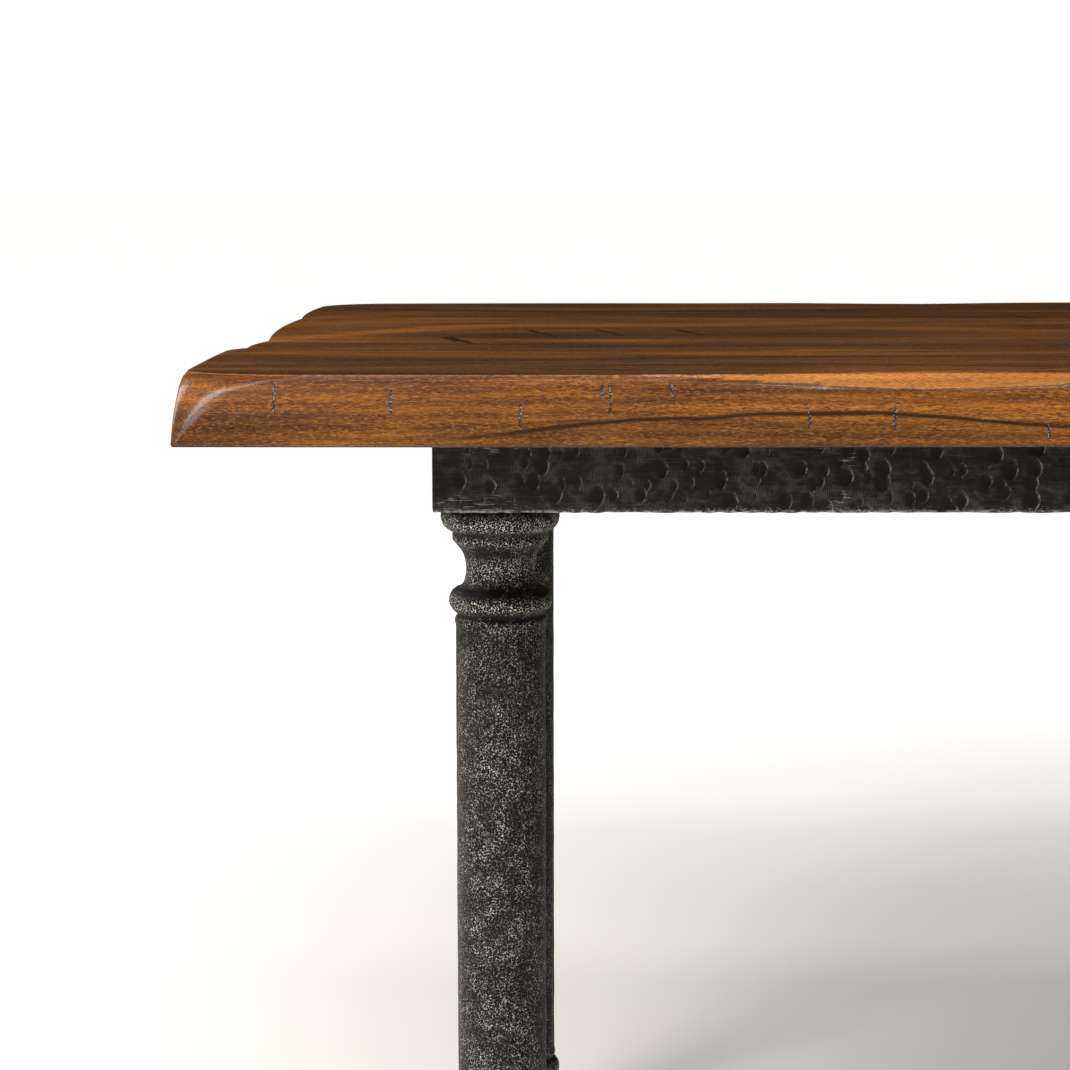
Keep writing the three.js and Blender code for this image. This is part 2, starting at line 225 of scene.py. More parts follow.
class Value:
    """A number that varies over a material's surface. Arithmetic on it adds math nodes."""

    __array_ufunc__ = None  # a NumPy number on the left leaves the arithmetic to this class

    def __init__(self, material, socket):
        self.material = material
        self.socket = socket

    def __add__(self, other):
        return self.material.math("ADD", self, other)

    def __sub__(self, other):
        return self.material.math("SUBTRACT", self, other)

    def __rsub__(self, other):
        return self.material.math("SUBTRACT", other, self)

    def __mul__(self, other):
        return self.material.math("MULTIPLY", self, other)

    def __truediv__(self, other):
        return self.material.math("DIVIDE", self, other)

    def __pow__(self, other):
        return self.material.math("POWER", self, other)

    def __abs__(self):
        return self.material.math("ABSOLUTE", self)


class Material:
    """A principled material and short calls that add nodes to it."""

    def __init__(self, name, **constants):
        self.made = bpy.data.materials.new(name)
        self.made.use_nodes = True
        self.tree = self.made.node_tree
        self.shader = next(n for n in self.tree.nodes if n.type == "BSDF_PRINCIPLED")
        for socket, value in constants.items():
            self.shader.inputs[socket.replace("_", " ")].default_value = value
        self.place = self.node("ShaderNodeTexCoord").outputs["Object"]

    def node(self, kind, inputs=None, **settings):
        node = self.tree.nodes.new(kind)
        for name, value in settings.items():
            setattr(node, name, value)
        for socket, value in (inputs or {}).items():
            self.feed(node.inputs[socket], value)
        return node

    def feed(self, socket, value):
        if isinstance(value, Value):
            value = value.socket
        if isinstance(value, bpy.types.NodeSocket):
            self.tree.links.new(value, socket)
        else:
            socket.default_value = value

    def value(self, kind, inputs=None, output=0, **settings):
        return Value(self, self.node(kind, inputs, **settings).outputs[output])

    def math(self, operation, a, b=0.0, clamp=False):
        return self.value("ShaderNodeMath", {0: a, 1: b}, operation=operation, use_clamp=clamp)

    def wave(self, along, length):
        """A sine wave of that length."""
        return self.math("SINE", along * (2 * math.pi / length))

    def fade(self, value, start, end):
        """0 where value is at start and 1 at end, smoothly between."""
        ends = {"Value": value, "From Min": start, "From Max": end}
        return self.value("ShaderNodeMapRange", ends, interpolation_type="SMOOTHSTEP")

    def ramp(self, factor, *stops):
        """A colour ramp of (position, red, green, blue) stops, in screen values."""
        node = self.node("ShaderNodeValToRGB", {0: factor})
        elements = node.color_ramp.elements
        colours = [(position, paint(*screen)) for position, *screen in stops]
        elements[0].position, elements[0].color = colours[0]
        elements[1].position, elements[1].color = colours[-1]
        for position, colour in colours[1:-1]:
            elements.new(position).color = colour
        return node.outputs[0]

    def mix(self, factor, a, b):
        node = self.node("ShaderNodeMix", data_type="RGBA")
        for socket, value in ((0, factor), (6, a), (7, b)):
            self.feed(node.inputs[socket], value)
        return node.outputs[2]

    def stretched(self, grain, shift=(0, 0, 0), turn=(0, 0, 0)):
        """The place in units of `grain` (millimetres for each axis)."""
        scale = [1 / (MM * size) for size in grain]
        inputs = {"Vector": self.place, "Location": shift, "Rotation": turn, "Scale": scale}
        return self.node("ShaderNodeMapping", inputs).outputs[0]

    def noise(self, grain, shift=(0, 0, 0), turn=(0, 0, 0), detail=3.0, roughness=0.5, distortion=0.0):
        inputs = {"Vector": self.stretched(grain, shift, turn), "Scale": 1.0, "Detail": detail,
                  "Roughness": roughness, "Distortion": distortion}
        return self.value("ShaderNodeTexNoise", inputs)

    def cells(self, grain):
        """How far away the nearest of a scatter of points is."""
        inputs = {"Vector": self.stretched(grain), "Scale": 1.0}
        return self.value("ShaderNodeTexVoronoi", inputs, "Distance")

    def attribute(self, name):
        return self.value("ShaderNodeAttribute", output="Fac", attribute_name=name)

    def distance(self, point):
        """How far the place is from a point, in metres."""
        inputs = {0: self.place, 1: point}
        return self.value("ShaderNodeVectorMath", inputs, "Value", operation="DISTANCE")

    def split(self):
        """The x, y and z of the place, in millimetres."""
        scaled = self.node("ShaderNodeVectorMath", {0: self.place, 1: (1 / MM,) * 3}, operation="MULTIPLY")
        parts = self.node("ShaderNodeSeparateXYZ", {0: scaled.outputs[0]})
        return [Value(self, part) for part in parts.outputs]

    def bump(self, height, distance, strength=1.0, under=None):
        """Adds relief `distance` millimetres deep, over the relief `under`."""
        inputs = {"Height": height, "Distance": distance * MM, "Strength": strength}
        if under is not None:
            inputs["Normal"] = under
        return self.node("ShaderNodeBump", inputs).outputs[0]

    def finish(self, colour, roughness, normal=None):
        self.feed(self.shader.inputs["Base Color"], colour)
        self.feed(self.shader.inputs["Roughness"], roughness)
        if normal is not None:
            self.feed(self.shader.inputs["Normal"], normal)
        return self.made


FRONT = -WIDTH / 2
# The mineral streak on the front edge, an arch. It is `drop` lower at `reach` from its crown, and its height
# is above the underside, less the wander. It fades out between two distances from its middle, and going in
# from the front edge.
ARCH = {"crown": -365.0, "height": 26.5, "drop": 17.4, "reach": 215.0, "wander": 9.0,
        "middle": -375.0, "ends": (235.0, 150.0), "depth": (60, 20)}
# The lens on the face: two lines that part and meet again `reach` from its middle.
LENS = {"middle": -371.0, "reach": 190.0, "half": 30.0, "inward": 62}
# The pale streak on the face: where it stops climbing, how far it climbs, how far back it bends afterwards,
# how wide it is, and where it fades out.
PALE_STREAK = {"climb": (-800.0, -470.0), "rise": 230.0, "level": 78.0, "bend": (-480.0, 0.0), "back": 130.0,
               "half": (46.0, 10.0), "end": (-150.0, -480.0)}
# Short saw marks across the grain of the front edge: x, lowest and highest z above the underside.
SAW_MARKS = [(-696, 20, 41), (-623, 20, 38), (-542, 11, 28), (-491, 30, 40), (-486, 20, 40), (-448, 31, 40),
             (-362, 11, 24), (-309, 8, 26), (-213, 4, 16), (-118, 18, 38), (64, 10, 31), (187, 22, 40),
             (310, 6, 19), (402, 17, 36), (548, 12, 30), (667, 24, 40)]
# Marks across the grain of the face: x, the middle in y and half their length.
CROSS_MARKS = [(-595, -104, 46), (-603, -92, 34), (-536, -18, 52), (-484, -7, 40), (-479, -30, 30),
               (-421, -8, 44), (-129, 210, 40), (90, -60, 46), (343, 130, 38), (381, -210, 44), (564, 40, 50)]
MARK_SLANT = 0.25  # how far a mark across the face moves along it for each unit across
MARK_FEATHER = 6.0  # how far its ragged edges reach
# Tool chatter in the front bevel: its middle in x, how far each way it fades out, and its wave.
CHATTER = {"middle": -318.0, "ends": (95.0, 35.0), "length": 4.2, "wander": 7.0}
CHIP = (-352 * MM, (FRONT + 5) * MM, (UNDERSIDE + 37.6) * MM)
CHIP_EDGE = (4.6 * MM, 3.8 * MM)
GROWTH_RING = 7.5
PORE_TILT = (0, 0.1, 0)


def on_face(m, z):
    return m.fade(z, TOP - 7, TOP - 5)


def dark_streaks(m, x, y, z):
    """The mineral streak that arches along the front edge, and the pair of lines round a lens on the face."""
    wander = m.noise((90, 30, 30), detail=2) * ARCH["wander"]
    along = ((x - ARCH["crown"]) / ARCH["reach"]) ** 2.0
    arch = UNDERSIDE + ARCH["height"] - (along * ARCH["drop"] + wander)
    gone, full = ARCH["depth"]
    line = m.fade(abs(z - arch), 2.1, 0.4) * m.fade(abs(x - ARCH["middle"]), *ARCH["ends"])
    line = line * m.fade(y, FRONT + gone, FRONT + full)
    bulge = 1.0 - ((x - LENS["middle"]) / LENS["reach"]) ** 2.0
    off_middle = abs(y - (wander * 1.6 + (FRONT + LENS["inward"])))
    off_lens = abs(off_middle - bulge * LENS["half"])
    lens = m.fade(off_lens, 4.5, 0.5) * m.fade(bulge, 0.02, 0.3) * on_face(m, z)
    return m.math("MAXIMUM", line, lens)


def pale_streak(m, x, y):
    """The pale streak that climbs away from the left end over the face and levels out."""
    climb = (1.0 - m.fade(x, *PALE_STREAK["climb"])) ** 2.0
    wander = m.noise((120, 120, 120), detail=2) * 30.0
    middle = wander + PALE_STREAK["level"] - climb * PALE_STREAK["rise"]
    middle = middle + m.fade(x, *PALE_STREAK["bend"]) * PALE_STREAK["back"]
    return m.fade(abs(y - middle), *PALE_STREAK["half"]) * m.fade(x, *PALE_STREAK["end"])


def cross_marks(m, x, y, z):
    """Short dark marks across the grain of the face, as an old tool leaves."""
    feather = m.noise((3, 12, 3), detail=2) * MARK_FEATHER
    slanting = y * MARK_SLANT + (x + feather)
    total = 0.0
    for place, middle, half in CROSS_MARKS:
        off = abs(slanting - (place + MARK_SLANT * middle + MARK_FEATHER / 2))
        mark = m.fade(off, 4.6, 1.4) * m.fade(abs(y - middle), half, half - 12)
        total = m.math("MAXIMUM", total, mark)
    return total * on_face(m, z)


def saw_marks(m, x, y, z):
    """Dotted upright lines where a saw has skipped, on the front edge."""
    dots = m.fade(m.noise((1.3, 6, 1.5), detail=2), 0.38, 0.5)
    total = 0.0
    for place, low, high in SAW_MARKS:
        middle, half = UNDERSIDE + (low + high) / 2, (high - low) / 2
        mark = m.fade(abs(x - place), 1.5, 0.6) * m.fade(abs(z - middle), half, half - 2)
        total = m.math("MAXIMUM", total, mark)
    return total * dots * m.fade(y, FRONT + 12, FRONT + 6)


def walnut(number):
    """Oiled walnut for one board, with growth rings of its own, so that glue lines show as a new grain."""
    m = Material(f"walnut_{number}", IOR=1.5, Specular_IOR_Level=0.06, Coat_Weight=0.28, Coat_Roughness=0.23)
    rng = np.random.default_rng(SEED + number)
    shift = tuple(rng.uniform(-40, 40, 3))
    x, y, z = m.split()
    # The weight climbs up the edge: it paints the edge darker towards the underside as shade, and its arris
    # pale, worn and partly a painted highlight
    carved = m.attribute("wear_and_painted_light")

    # growth rings about a pith that wanders along the board
    pith = (rng.uniform(-120, 120) + (number - 2) * WIDTH / 5, UNDERSIDE - rng.uniform(60, 140))
    sway = m.noise((420, 160, 160), shift, detail=2, distortion=0.4) * 90.0
    dy = y + sway - pith[0]
    dz = z - pith[1]
    radius = m.math("SQRT", dy * dy + dz * dz)
    ragged = m.noise((70, 9, 9), shift, detail=4) * 7.0
    rings = m.wave(radius + ragged, GROWTH_RING) * 0.5 + 0.5

    figure = m.noise((360, 70, 34), shift, detail=3, roughness=0.45, distortion=0.7)
    grain = m.noise((14, 0.8, 0.8), shift, detail=4, roughness=0.7)
    crowded = m.fade(m.noise((45, 8, 8), shift, detail=2), 0.3, 0.62)
    pores = m.fade(m.noise((3.8, 0.62, 0.62), shift, PORE_TILT, detail=1), 0.52, 0.59)
    pores = pores * (crowded * 0.5 + 0.4)
    painted_glints = m.fade(m.noise((3.2, 0.8, 0.8), (shift[2], 5, 9), PORE_TILT, detail=1), 0.56, 0.62)

    tone = figure * 0.60 + rings * 0.06 + grain * 0.36
    # A darker and a lighter copy of the walnut: the face and the low edge take the darker, a shaded copy, and
    # the upper edge the lighter, a lit copy
    flat = m.ramp(tone, (0.37, 34, 19, 8), (0.47, 56, 33, 13), (0.55, 74, 45, 17), (0.69, 114, 70, 25))
    edge = m.ramp(tone, (0.36, 62, 31, 7), (0.47, 98, 55, 14), (0.56, 134, 80, 24), (0.70, 178, 112, 40))
    # Mixing them by the weight paints the edge darker towards the underside, as shade
    colour = m.mix(m.math("MINIMUM", carved, 1.0), flat, edge)
    # The pale arris and scoop bevels: worn, and partly a painted highlight
    colour = m.mix(m.fade(carved, 1.0, 1.3) * 0.3, colour, paint(206, 134, 54))
    black_lines = m.fade(m.noise((420, 11, 12), (shift[1], shift[0], 3), detail=4), 0.60, 0.70)
    colour = m.mix(black_lines * 0.4, colour, paint(30, 18, 10))
    colour = m.mix(pale_streak(m, x, y) * 0.35, colour, paint(146, 90, 36))
    colour = m.mix(cross_marks(m, x, y, z), colour, paint(6, 3, 2))
    # Pale flecks along the pores: painted glints
    colour = m.mix(painted_glints * 0.1, colour, paint(204, 142, 78))
    colour = m.mix(pores * 0.7, colour, paint(34, 18, 8))
    relief = pores * -1.0
    if number == 0:
        colour, relief = front_board_marks(m, x, y, z, colour, relief)
    normal = m.bump(relief, 0.2, strength=0.8)
    normal = m.bump(m.noise((26, 7, 7), shift, detail=3), 0.35, strength=0.35, under=normal)
    return m.finish(colour, grain * 0.16 + 0.32 + pores * 0.25, normal)


def front_board_marks(m, x, y, z, colour, relief):
    """Adds what only the front board has: dark streaks, saw marks, tool chatter in its bevel and a chip."""
    colour = m.mix(dark_streaks(m, x, y, z) * 0.9, colour, paint(22, 12, 6))
    marks = saw_marks(m, x, y, z)
    pale_dots = m.fade(m.noise((1.6, 4, 1.3), detail=1), 0.54, 0.6)
    colour = m.mix(marks, colour, m.mix(pale_dots, paint(34, 30, 28), paint(106, 100, 96)))
    slanting = x + z * 1.3 + y * 0.6 + m.noise((9, 9, 9), detail=3) * CHATTER["wander"]
    in_bevel = m.fade(abs(x - CHATTER["middle"]), *CHATTER["ends"]) * m.fade(z, TOP - 16, TOP - 11)
    relief = relief - marks * 2.0 + m.wave(slanting, CHATTER["length"]) * in_bevel * 0.8
    away = m.distance(CHIP) + m.noise((1.5, 1.5, 1.5), detail=2) * (5 * MM)
    chip = m.fade(away, *CHIP_EDGE)
    return m.mix(chip * 0.6, colour, paint(120, 86, 60)), relief - chip * 4.0


def gouged_black():
    """Black stain on gouged wood, with chatter across the cuts, painted shade deep in them, and a silvery
    rubbing along their ridges that is partly a painted highlight where the crescents' steep edges catch the
    light.
    """
    m = Material("gouged_black", IOR=1.5, Specular_IOR_Level=0.22)
    x, y, z = m.split()
    chatter = m.wave(x + y + m.noise((14, 14, 9), detail=3) * 6.0, 1.5)
    fibres = m.noise((22, 22, 0.8), detail=4, roughness=0.65)
    mottle = m.noise((17, 17, 11), detail=5, roughness=0.7)
    base = m.ramp(mottle, (0.34, 12, 11, 10), (0.52, 30, 28, 26), (0.68, 58, 55, 51))
    base = m.mix(m.fade(fibres, 0.5, 0.66) * 0.25, base, paint(78, 75, 70))
    wear_and_painted_light = m.attribute("wear_and_painted_light")
    in_cut = m.fade(wear_and_painted_light, -0.16, -0.34)
    lines = m.fade(chatter, 0.3, 1.0) * (m.fade(mottle, 0.46, 0.6) * 0.35) * (1.0 - in_cut)
    base = m.mix(lines, base, paint(112, 109, 103))
    # Painted shade: the cuts darken the deeper they go
    base = m.mix(in_cut * 0.9, base, paint(11, 10, 10))
    # scratches: thin lines that run slantwise, in a few patches
    scratched = m.fade(m.noise((60, 60, 24), detail=2), 0.6, 0.7)
    scratches = m.fade(m.noise((13, 13, 0.7), turn=(0, 0.12, 0), detail=2), 0.58, 0.66)
    # the lower edge, worn to specks and dashes of silver
    low_edge = m.fade(z, APRON_LOW[2] + 6, APRON_LOW[2] + 0.5)
    low_edge = low_edge * m.fade(m.noise((2, 2, 0.9), detail=3, roughness=0.7), 0.54, 0.62)
    low_edge = low_edge * m.fade(m.noise((38, 38, 38), detail=2), 0.36, 0.56)
    bare = m.math("MAXIMUM", scratches * scratched, low_edge)
    broken = m.fade(m.noise((5, 5, 3.4), detail=4, roughness=0.7), 0.40, 0.62)
    # The crescents' rims are worn pale, and partly a painted highlight where their steep edges catch the
    # light
    rub_and_rim_highlight = m.math("MAXIMUM", m.math("MULTIPLY", wear_and_painted_light, broken, clamp=True), bare)
    colour = m.mix(rub_and_rim_highlight * 0.9, base, paint(172, 169, 163))
    normal = m.bump(chatter, 0.05, strength=0.6)
    normal = m.bump(fibres, 0.25, strength=0.5, under=normal)
    return m.finish(colour, mottle * 0.25 + 0.32, normal)


def cast_iron():
    """Sand-cast iron, blackened and dry-brushed: pewter shows as a worm-like speckle on the high grain,
    brightened along the turning partly as a painted highlight.
    """
    m = Material("cast_iron", IOR=1.5, Specular_IOR_Level=0.14)
    grain = m.noise((0.95, 0.95, 0.95), detail=2, roughness=0.55, distortion=0.9)
    patches = m.fade(m.noise((12, 12, 16), detail=3, roughness=0.6), 0.36, 0.64)
    # The speckle brightens in patches and along the turning: worn pewter, and partly a painted highlight on
    # the lower halves of the collar and the ring and the middle of the neck
    rubbed_and_highlit = patches * 0.45 + m.attribute("wear_and_painted_light") * 1.4
    specks = m.fade(grain, 0.57, 0.64)
    bright = m.math("MULTIPLY", specks, m.math("MAXIMUM", rubbed_and_highlit - 0.1, 0.03), clamp=True)
    base = m.ramp(m.noise((26, 26, 60), detail=4), (0.3, 4, 3, 3), (0.55, 8, 6, 5), (0.78, 26, 18, 12))
    colour = m.mix(bright, base, paint(232, 228, 220))
    m.feed(m.shader.inputs["Metallic"], bright)
    normal = m.bump(grain, 0.55, strength=0.8)
    sand = m.noise((0.5, 0.5, 0.5), detail=2, roughness=0.7)
    normal = m.bump(sand, 0.16, strength=0.5, under=normal)
    return m.finish(colour, bright * -0.14 + 0.52, normal)


def frame_hardwood():
    """Plain sawn hardwood for the hidden rails and corner blocks."""
    m = Material("frame_hardwood", IOR=1.45)
    _, y, z = m.split()
    grain = m.noise((3, 3, 70), detail=5, roughness=0.6)
    long_grain = m.noise((2.5, 90, 3), detail=5, roughness=0.6)
    tone = grain * 0.4 + long_grain * 0.6
    colour = m.ramp(tone, (0.3, 54, 38, 26), (0.5, 88, 64, 44), (0.7, 120, 92, 66))
    normal = m.bump(m.wave(y + z, 3.4), 0.06, strength=0.4)
    normal = m.bump(tone, 0.3, strength=0.5, under=normal)
    return m.finish(colour, tone * 0.3 + 0.5, normal)


def zinc_steel():
    """Zinc-plated steel with a faint crystal pattern and handling dulling."""
    m = Material("zinc_steel", Metallic=1.0)
    smear = m.noise((9, 9, 14), detail=4, roughness=0.6)
    colour = m.ramp(m.cells((2.6, 2.6, 2.6)), (0.1, 150, 152, 155), (0.9, 192, 194, 196))
    colour = m.mix(m.fade(smear, 0.5, 0.75) * 0.5, colour, paint(116, 112, 104))
    normal = m.bump(m.noise((0.8, 0.8, 3), detail=3), 0.05, strength=0.4)
    return m.finish(colour, smear * 0.3 + 0.2, normal)


def moulded_nylon():
    """Black moulded nylon with a fine spark-eroded grain and a few pale scuffs."""
    m = Material("moulded_nylon", IOR=1.53)
    grain = m.noise((0.45, 0.45, 0.45), detail=2)
    scuffs = m.fade(m.noise((6, 1.1, 3), detail=4, roughness=0.7), 0.62, 0.74)
    colour = m.mix(scuffs * 0.4, paint(24, 24, 25), paint(92, 92, 92))
    normal = m.bump(grain, 0.08, strength=0.5)
    return m.finish(colour, grain * 0.2 + 0.42, normal)


# ---------------------------------------------------------------- the top
# The outline is the CAD model's, but for the carved corner's ridges and the height of the edge's ridge.
# Each side is a run of carved lobes that meet at cusps. A lobe is [its end as a share of the side, how far
# in the edge is there, how far the lobe swells out between its ends, how square its shoulders are].
# A side's lean is how much of the edge's section it has. The sides run anticlockwise seen from above, from
# the front.
SIDES = [
    {"length": LENGTH, "lean": 1, "start": 2,
     "lobes": [[0.4, 3, 2.5, 2], [0.73, 2.5, 2, 2], [1, 3, 2, 2]]},
    {"length": WIDTH, "lean": 1, "start": 6,
     "lobes": [[0.21, 15, 8, 4], [0.33, 19, 2, 2], [0.7, 12, 9, 2], [1, 8, 6, 2]]},
    {"length": LENGTH, "lean": 1, "start": 6,
     "lobes": [[0.3, 5, 4, 2], [0.62, 3, 4, 2], [0.8, 6, 2, 2], [1, 4, 3.5, 2]]},
    {"length": WIDTH, "lean": 0.7, "start": 12.5,
     "lobes": [[0.243, 13.8, 3.5, 2], [0.627, 19.5, 6, 2], [0.73, 13, 2.6, 2], [0.775, 1.5, 3.2, 2],
               [1, 0.5, 0.8, 2]]},
]
# Where the upper edge is scooped wider: the side's number, a share of it, half the scoop's length, its
# extra drop and width.
SCOOPS = [(0, 0.29, 235, 4.5, 28), (0, 0.76, 150, 3.5, 20), (1, 0.5, 120, 4, 20), (2, 0.22, 170, 4.5, 24),
          (2, 0.66, 140, 3.5, 18)]
# How far each corner reaches along the side before it and the side after it, at the underside and the face.
CORNER_REACHES = [((1.5, 44), (1.5, 95)), ((20, 38), (20, 38)), ((10, 22), (10, 22)), ((40, 65), (40, 65))]
CARVED_CORNER = 0
RIDGE_TURN = 0.42  # each ridge's share of the way round the carved corner
CORNER_STEPS = 26
OUTLINE_STEP = 2.6
FAR_AWAY = 1000.0  # what stands for the nearest cusp's distance at the corners
# The edge's section: [height above the underside, how far in it is, rounding there, rings to the next].
EDGE = [[0, 1.2, 0, 0], [1.5, 0, 1.5, 3], [14, 0.4, 10, 4], [28, 2.4, 6, 2], [36, 3.9, 4, 2],
        [41.5, 5, 1.6, 5], [THICKNESS, 7.4, 6, 1]]
RIDGE, FACE = 5, 6
WORN_HIGHLIGHT_RISE = 0.98  # the share of the thickness above which the edge is painted pale: worn, and partly a painted highlight
SCOOP_WORN_HIGHLIGHT = 0.17  # how much further down the pale edge, partly a painted highlight, reaches in the middle of a scoop
# How far in the rings of the top's flat face are from its edge.
FACE_INSETS = [3, 6, 10, 15, 21, 28, 36, 46, 58, 74, 96, 130, 175, 225, 285, 345, 400, 440]
GROOVE = {"depth": 2.3, "half": 2.8, "length": 46, "slant": -0.35}


def lobe_inset(side, share):
    """How far the outline is in from a side's line."""
    start, inset = 0, side["start"]
    for end, after, swell, shoulder in side["lobes"]:
        if share <= end + 1e-9:
            t = (share - start) / (end - start)
            return inset + (after - inset) * t - swell * (1 - abs(2 * t - 1) ** shoulder)
        start, inset = end, after
    return inset


def least_inset(side):
    return min(lobe_inset(side, share) for share in side_shares(side))


def side_shares(side):
    """The shares of a side at which its outline is drawn, with every cusp among them."""
    shares = [0.0]
    for end, *_ in side["lobes"]:
        steps = round((end - shares[-1]) * side["length"] / OUTLINE_STEP)
        shares += list(np.linspace(shares[-1], end, steps + 1)[1:])
    return shares


def scoop_at(number, share):
    """The weight, drop and widening of the scoops at a place along a side."""
    total = np.zeros(3)
    for side, middle, reach, drop, widen in SCOOPS:
        away = abs(share - middle) * SIDES[side]["length"] / reach
        if side == number and away < 1:
            weight = 0.5 + 0.5 * math.cos(math.pi * away)
            total += weight * np.array([1, drop, widen])
    return total


def outline_facts():
    """For each point of the outline: the scoops' weight there, and how far away the nearest cusp is."""
    facts = []
    for number, side in enumerate(SIDES):
        cusps = [lobe[0] for lobe in side["lobes"][:3] if lobe[0] < 1]
        for share in side_shares(side):
            nearest = min(cusps, key=lambda cusp: abs(cusp - share))
            facts.append((scoop_at(number, share)[0], (share - nearest) * side["length"]))
        facts += [(0.0, FAR_AWAY)] * (CORNER_STEPS - 1)
    return np.array(facts).T


def corner_reaches(number, rise):
    """How far a corner reaches along the side before it and the side after it, at a share of the thickness.
    It flares out into the face."""
    flare = 0.47 * rise + 0.53 * rise**9
    return [low + (high - low) * flare for low, high in CORNER_REACHES[number]]


def corner_turns(number):
    """A unit corner's points, as how far along the side and how far into the next one they are: round, or for
    the carved corner two rounded ridges with a facet between them."""
    shares = np.linspace(0, 1, CORNER_STEPS + 1)
    turn = shares * math.pi / 2
    if number == CARVED_CORNER:
        ridges = [np.clip((shares - start) / RIDGE_TURN, 0, 1) for start in (0, 1 - RIDGE_TURN)]
        turn = sum(ridges) * math.pi / 4
    along, into = np.cumsum(np.cos(turn)), np.cumsum(np.sin(turn))
    turned = np.stack([along / along[-1], into / into[-1]], axis=1)
    return turned[:-2] + (turned[1:-1] - turned[:-2]) * 0.5


def outline(level):
    """The outline at one level of the edge's section, as an array of points."""
    height, bevel = EDGE[level][:2]
    rise = height / THICKNESS
    points = []
    for number, side in enumerate(SIDES):
        base = least_inset(side)
        before, after = SIDES[number - 1], SIDES[(number + 1) % 4]
        edge_before = lobe_inset(before, 1) - least_inset(before)
        edge_after = after["start"] - least_inset(after)
        start_reach = corner_reaches(number, rise)[1]
        end_reach, turn_reach = corner_reaches((number + 1) % 4, rise)
        first = edge_before + bevel * before["lean"] + start_reach
        last = side["length"] - edge_after - bevel * after["lean"] - end_reach
        local = []
        for share in side_shares(side):
            _, drop, widen = scoop_at(number, share)
            inset = lobe_inset(side, share) - base + bevel * side["lean"] + (widen if level == FACE else 0)
            local.append((first + (last - first) * share, inset, -drop if level == RIDGE else 0))
        corner_inset = lobe_inset(side, 1) - base + bevel * side["lean"]
        for along, into in corner_turns((number + 1) % 4):
            local.append((last + end_reach * along, corner_inset + turn_reach * into, 0))
        local = np.array(local) - [side["length"] / 2, after["length"] / 2, 0]
        quarter = np.array(Matrix.Rotation(number * math.pi / 2, 3, "Z"))
        points.append(local @ quarter.T + [0, 0, UNDERSIDE + height])
    return np.vstack(points)


def edge_rings(scooped):
    """The rings of the top's edge, from its underside up to its face, with the marks of the carving."""
    rings = rounded_rings([outline(level) for level in range(len(EDGE))], [row[2] for row in EDGE],
                          [row[3] for row in EDGE[:-1]])
    out = np.roll(rings[0], -1, axis=0) - np.roll(rings[0], 1, axis=0)
    out = np.stack([out[:, 1], -out[:, 0], 0 * out[:, 0]], axis=1)
    out /= np.linalg.norm(out, axis=1, keepdims=True)
    carved = []
    for ring in rings:
        rise = (ring[:, 2] - UNDERSIDE) / THICKNESS
        tools = 0.5 + 0.5 * soft_noise(ring, (70, 70, 22), SEED)
        ripple = 0.5 + 0.5 * np.sin((ring[:, 0] + ring[:, 1]) * 2 * math.pi / 8.5)
        patchy = np.clip(soft_noise(ring, (60, 60, 60), SEED + 1) + 0.2, 0, 1)
        inward = 0.4 * tools * np.clip(rise * 8, 0, 1)
        lowered = 0.45 * ripple * patchy * scooped * np.clip(rise * 12 - 10, 0, 1)
        carved.append(ring - out * inward[:, None] - np.array([0, 0, 1]) * lowered[:, None])
    return carved


def face_rings(rim, from_cusp):
    """The rings of the flat face, with a groove run in from each cusp and the plane's slight hollows."""
    rings = []
    for inset in FACE_INSETS:
        shrink = np.array([1 - 2 * inset / LENGTH, 1 - 2 * inset / WIDTH, 1])
        ring = rim * shrink
        across = from_cusp - GROOVE["slant"] * inset
        groove = GROOVE["depth"] * np.exp(-((across / GROOVE["half"]) ** 2))
        groove *= np.clip(1 - inset / GROOVE["length"], 0, 1)
        hollows = 0.16 * (1 + soft_noise(ring, (170, 46, 50), SEED + 2)) * min(inset / 20, 1)
        ring[:, 2] = TOP - groove - hollows
        rings.append(ring)
    return rings


def whole_top():
    """The top before it is parted into boards, with a weight for each point that paints the edge darker
    towards the underside as shade, and its arris pale: worn, and partly a painted highlight.
    """
    scooped, from_cusp = outline_facts()
    edge = edge_rings(scooped)
    rings = edge + face_rings(edge[-1], from_cusp)
    faces = ring_faces(len(rings), len(scooped))
    rise = (np.array(rings)[:, :, 2] - UNDERSIDE) / THICKNESS
    # The weight grows up the edge, painting shade low down; above the arris line it is 1.3, the pale arris,
    # worn and partly a painted highlight
    carved = np.where(rise > WORN_HIGHLIGHT_RISE - SCOOP_WORN_HIGHLIGHT * scooped, 1.3, 0.15 + 0.85 * rise)
    carved[len(edge) - 1:] = 0
    return np.vstack(rings), faces, carved.ravel()


def add_top():
    points, faces, carved = whole_top()
    mesh = bpy.data.meshes.new("whole_top")
    mesh.from_pydata((points * MM).tolist(), [], faces)
    mesh.attributes.new("wear_and_painted_light", "FLOAT", "POINT").data.foreach_set("value", carved.astype(np.float32))
    front, width = FRONT * MM, WIDTH * MM / len(BOARDS)
    for i, node in enumerate(BOARDS):
        board = bmesh.new()
        board.from_mesh(mesh)
        for y, side in ((front + i * width, -1), (front + (i + 1) * width, 1)):
            if abs(y) < -front - 1e-4:  # the outermost boards' outer edges need no cut
                part_at(board, y, side)
        part = bpy.data.meshes.new(f"plank_{i + 1}")
        board.to_mesh(part)
        board.free()
        part.materials.append(walnut(i))
        place_mesh(f"plank_{i + 1}", part, TABLE, [node], 30)
    bpy.data.meshes.remove(mesh)


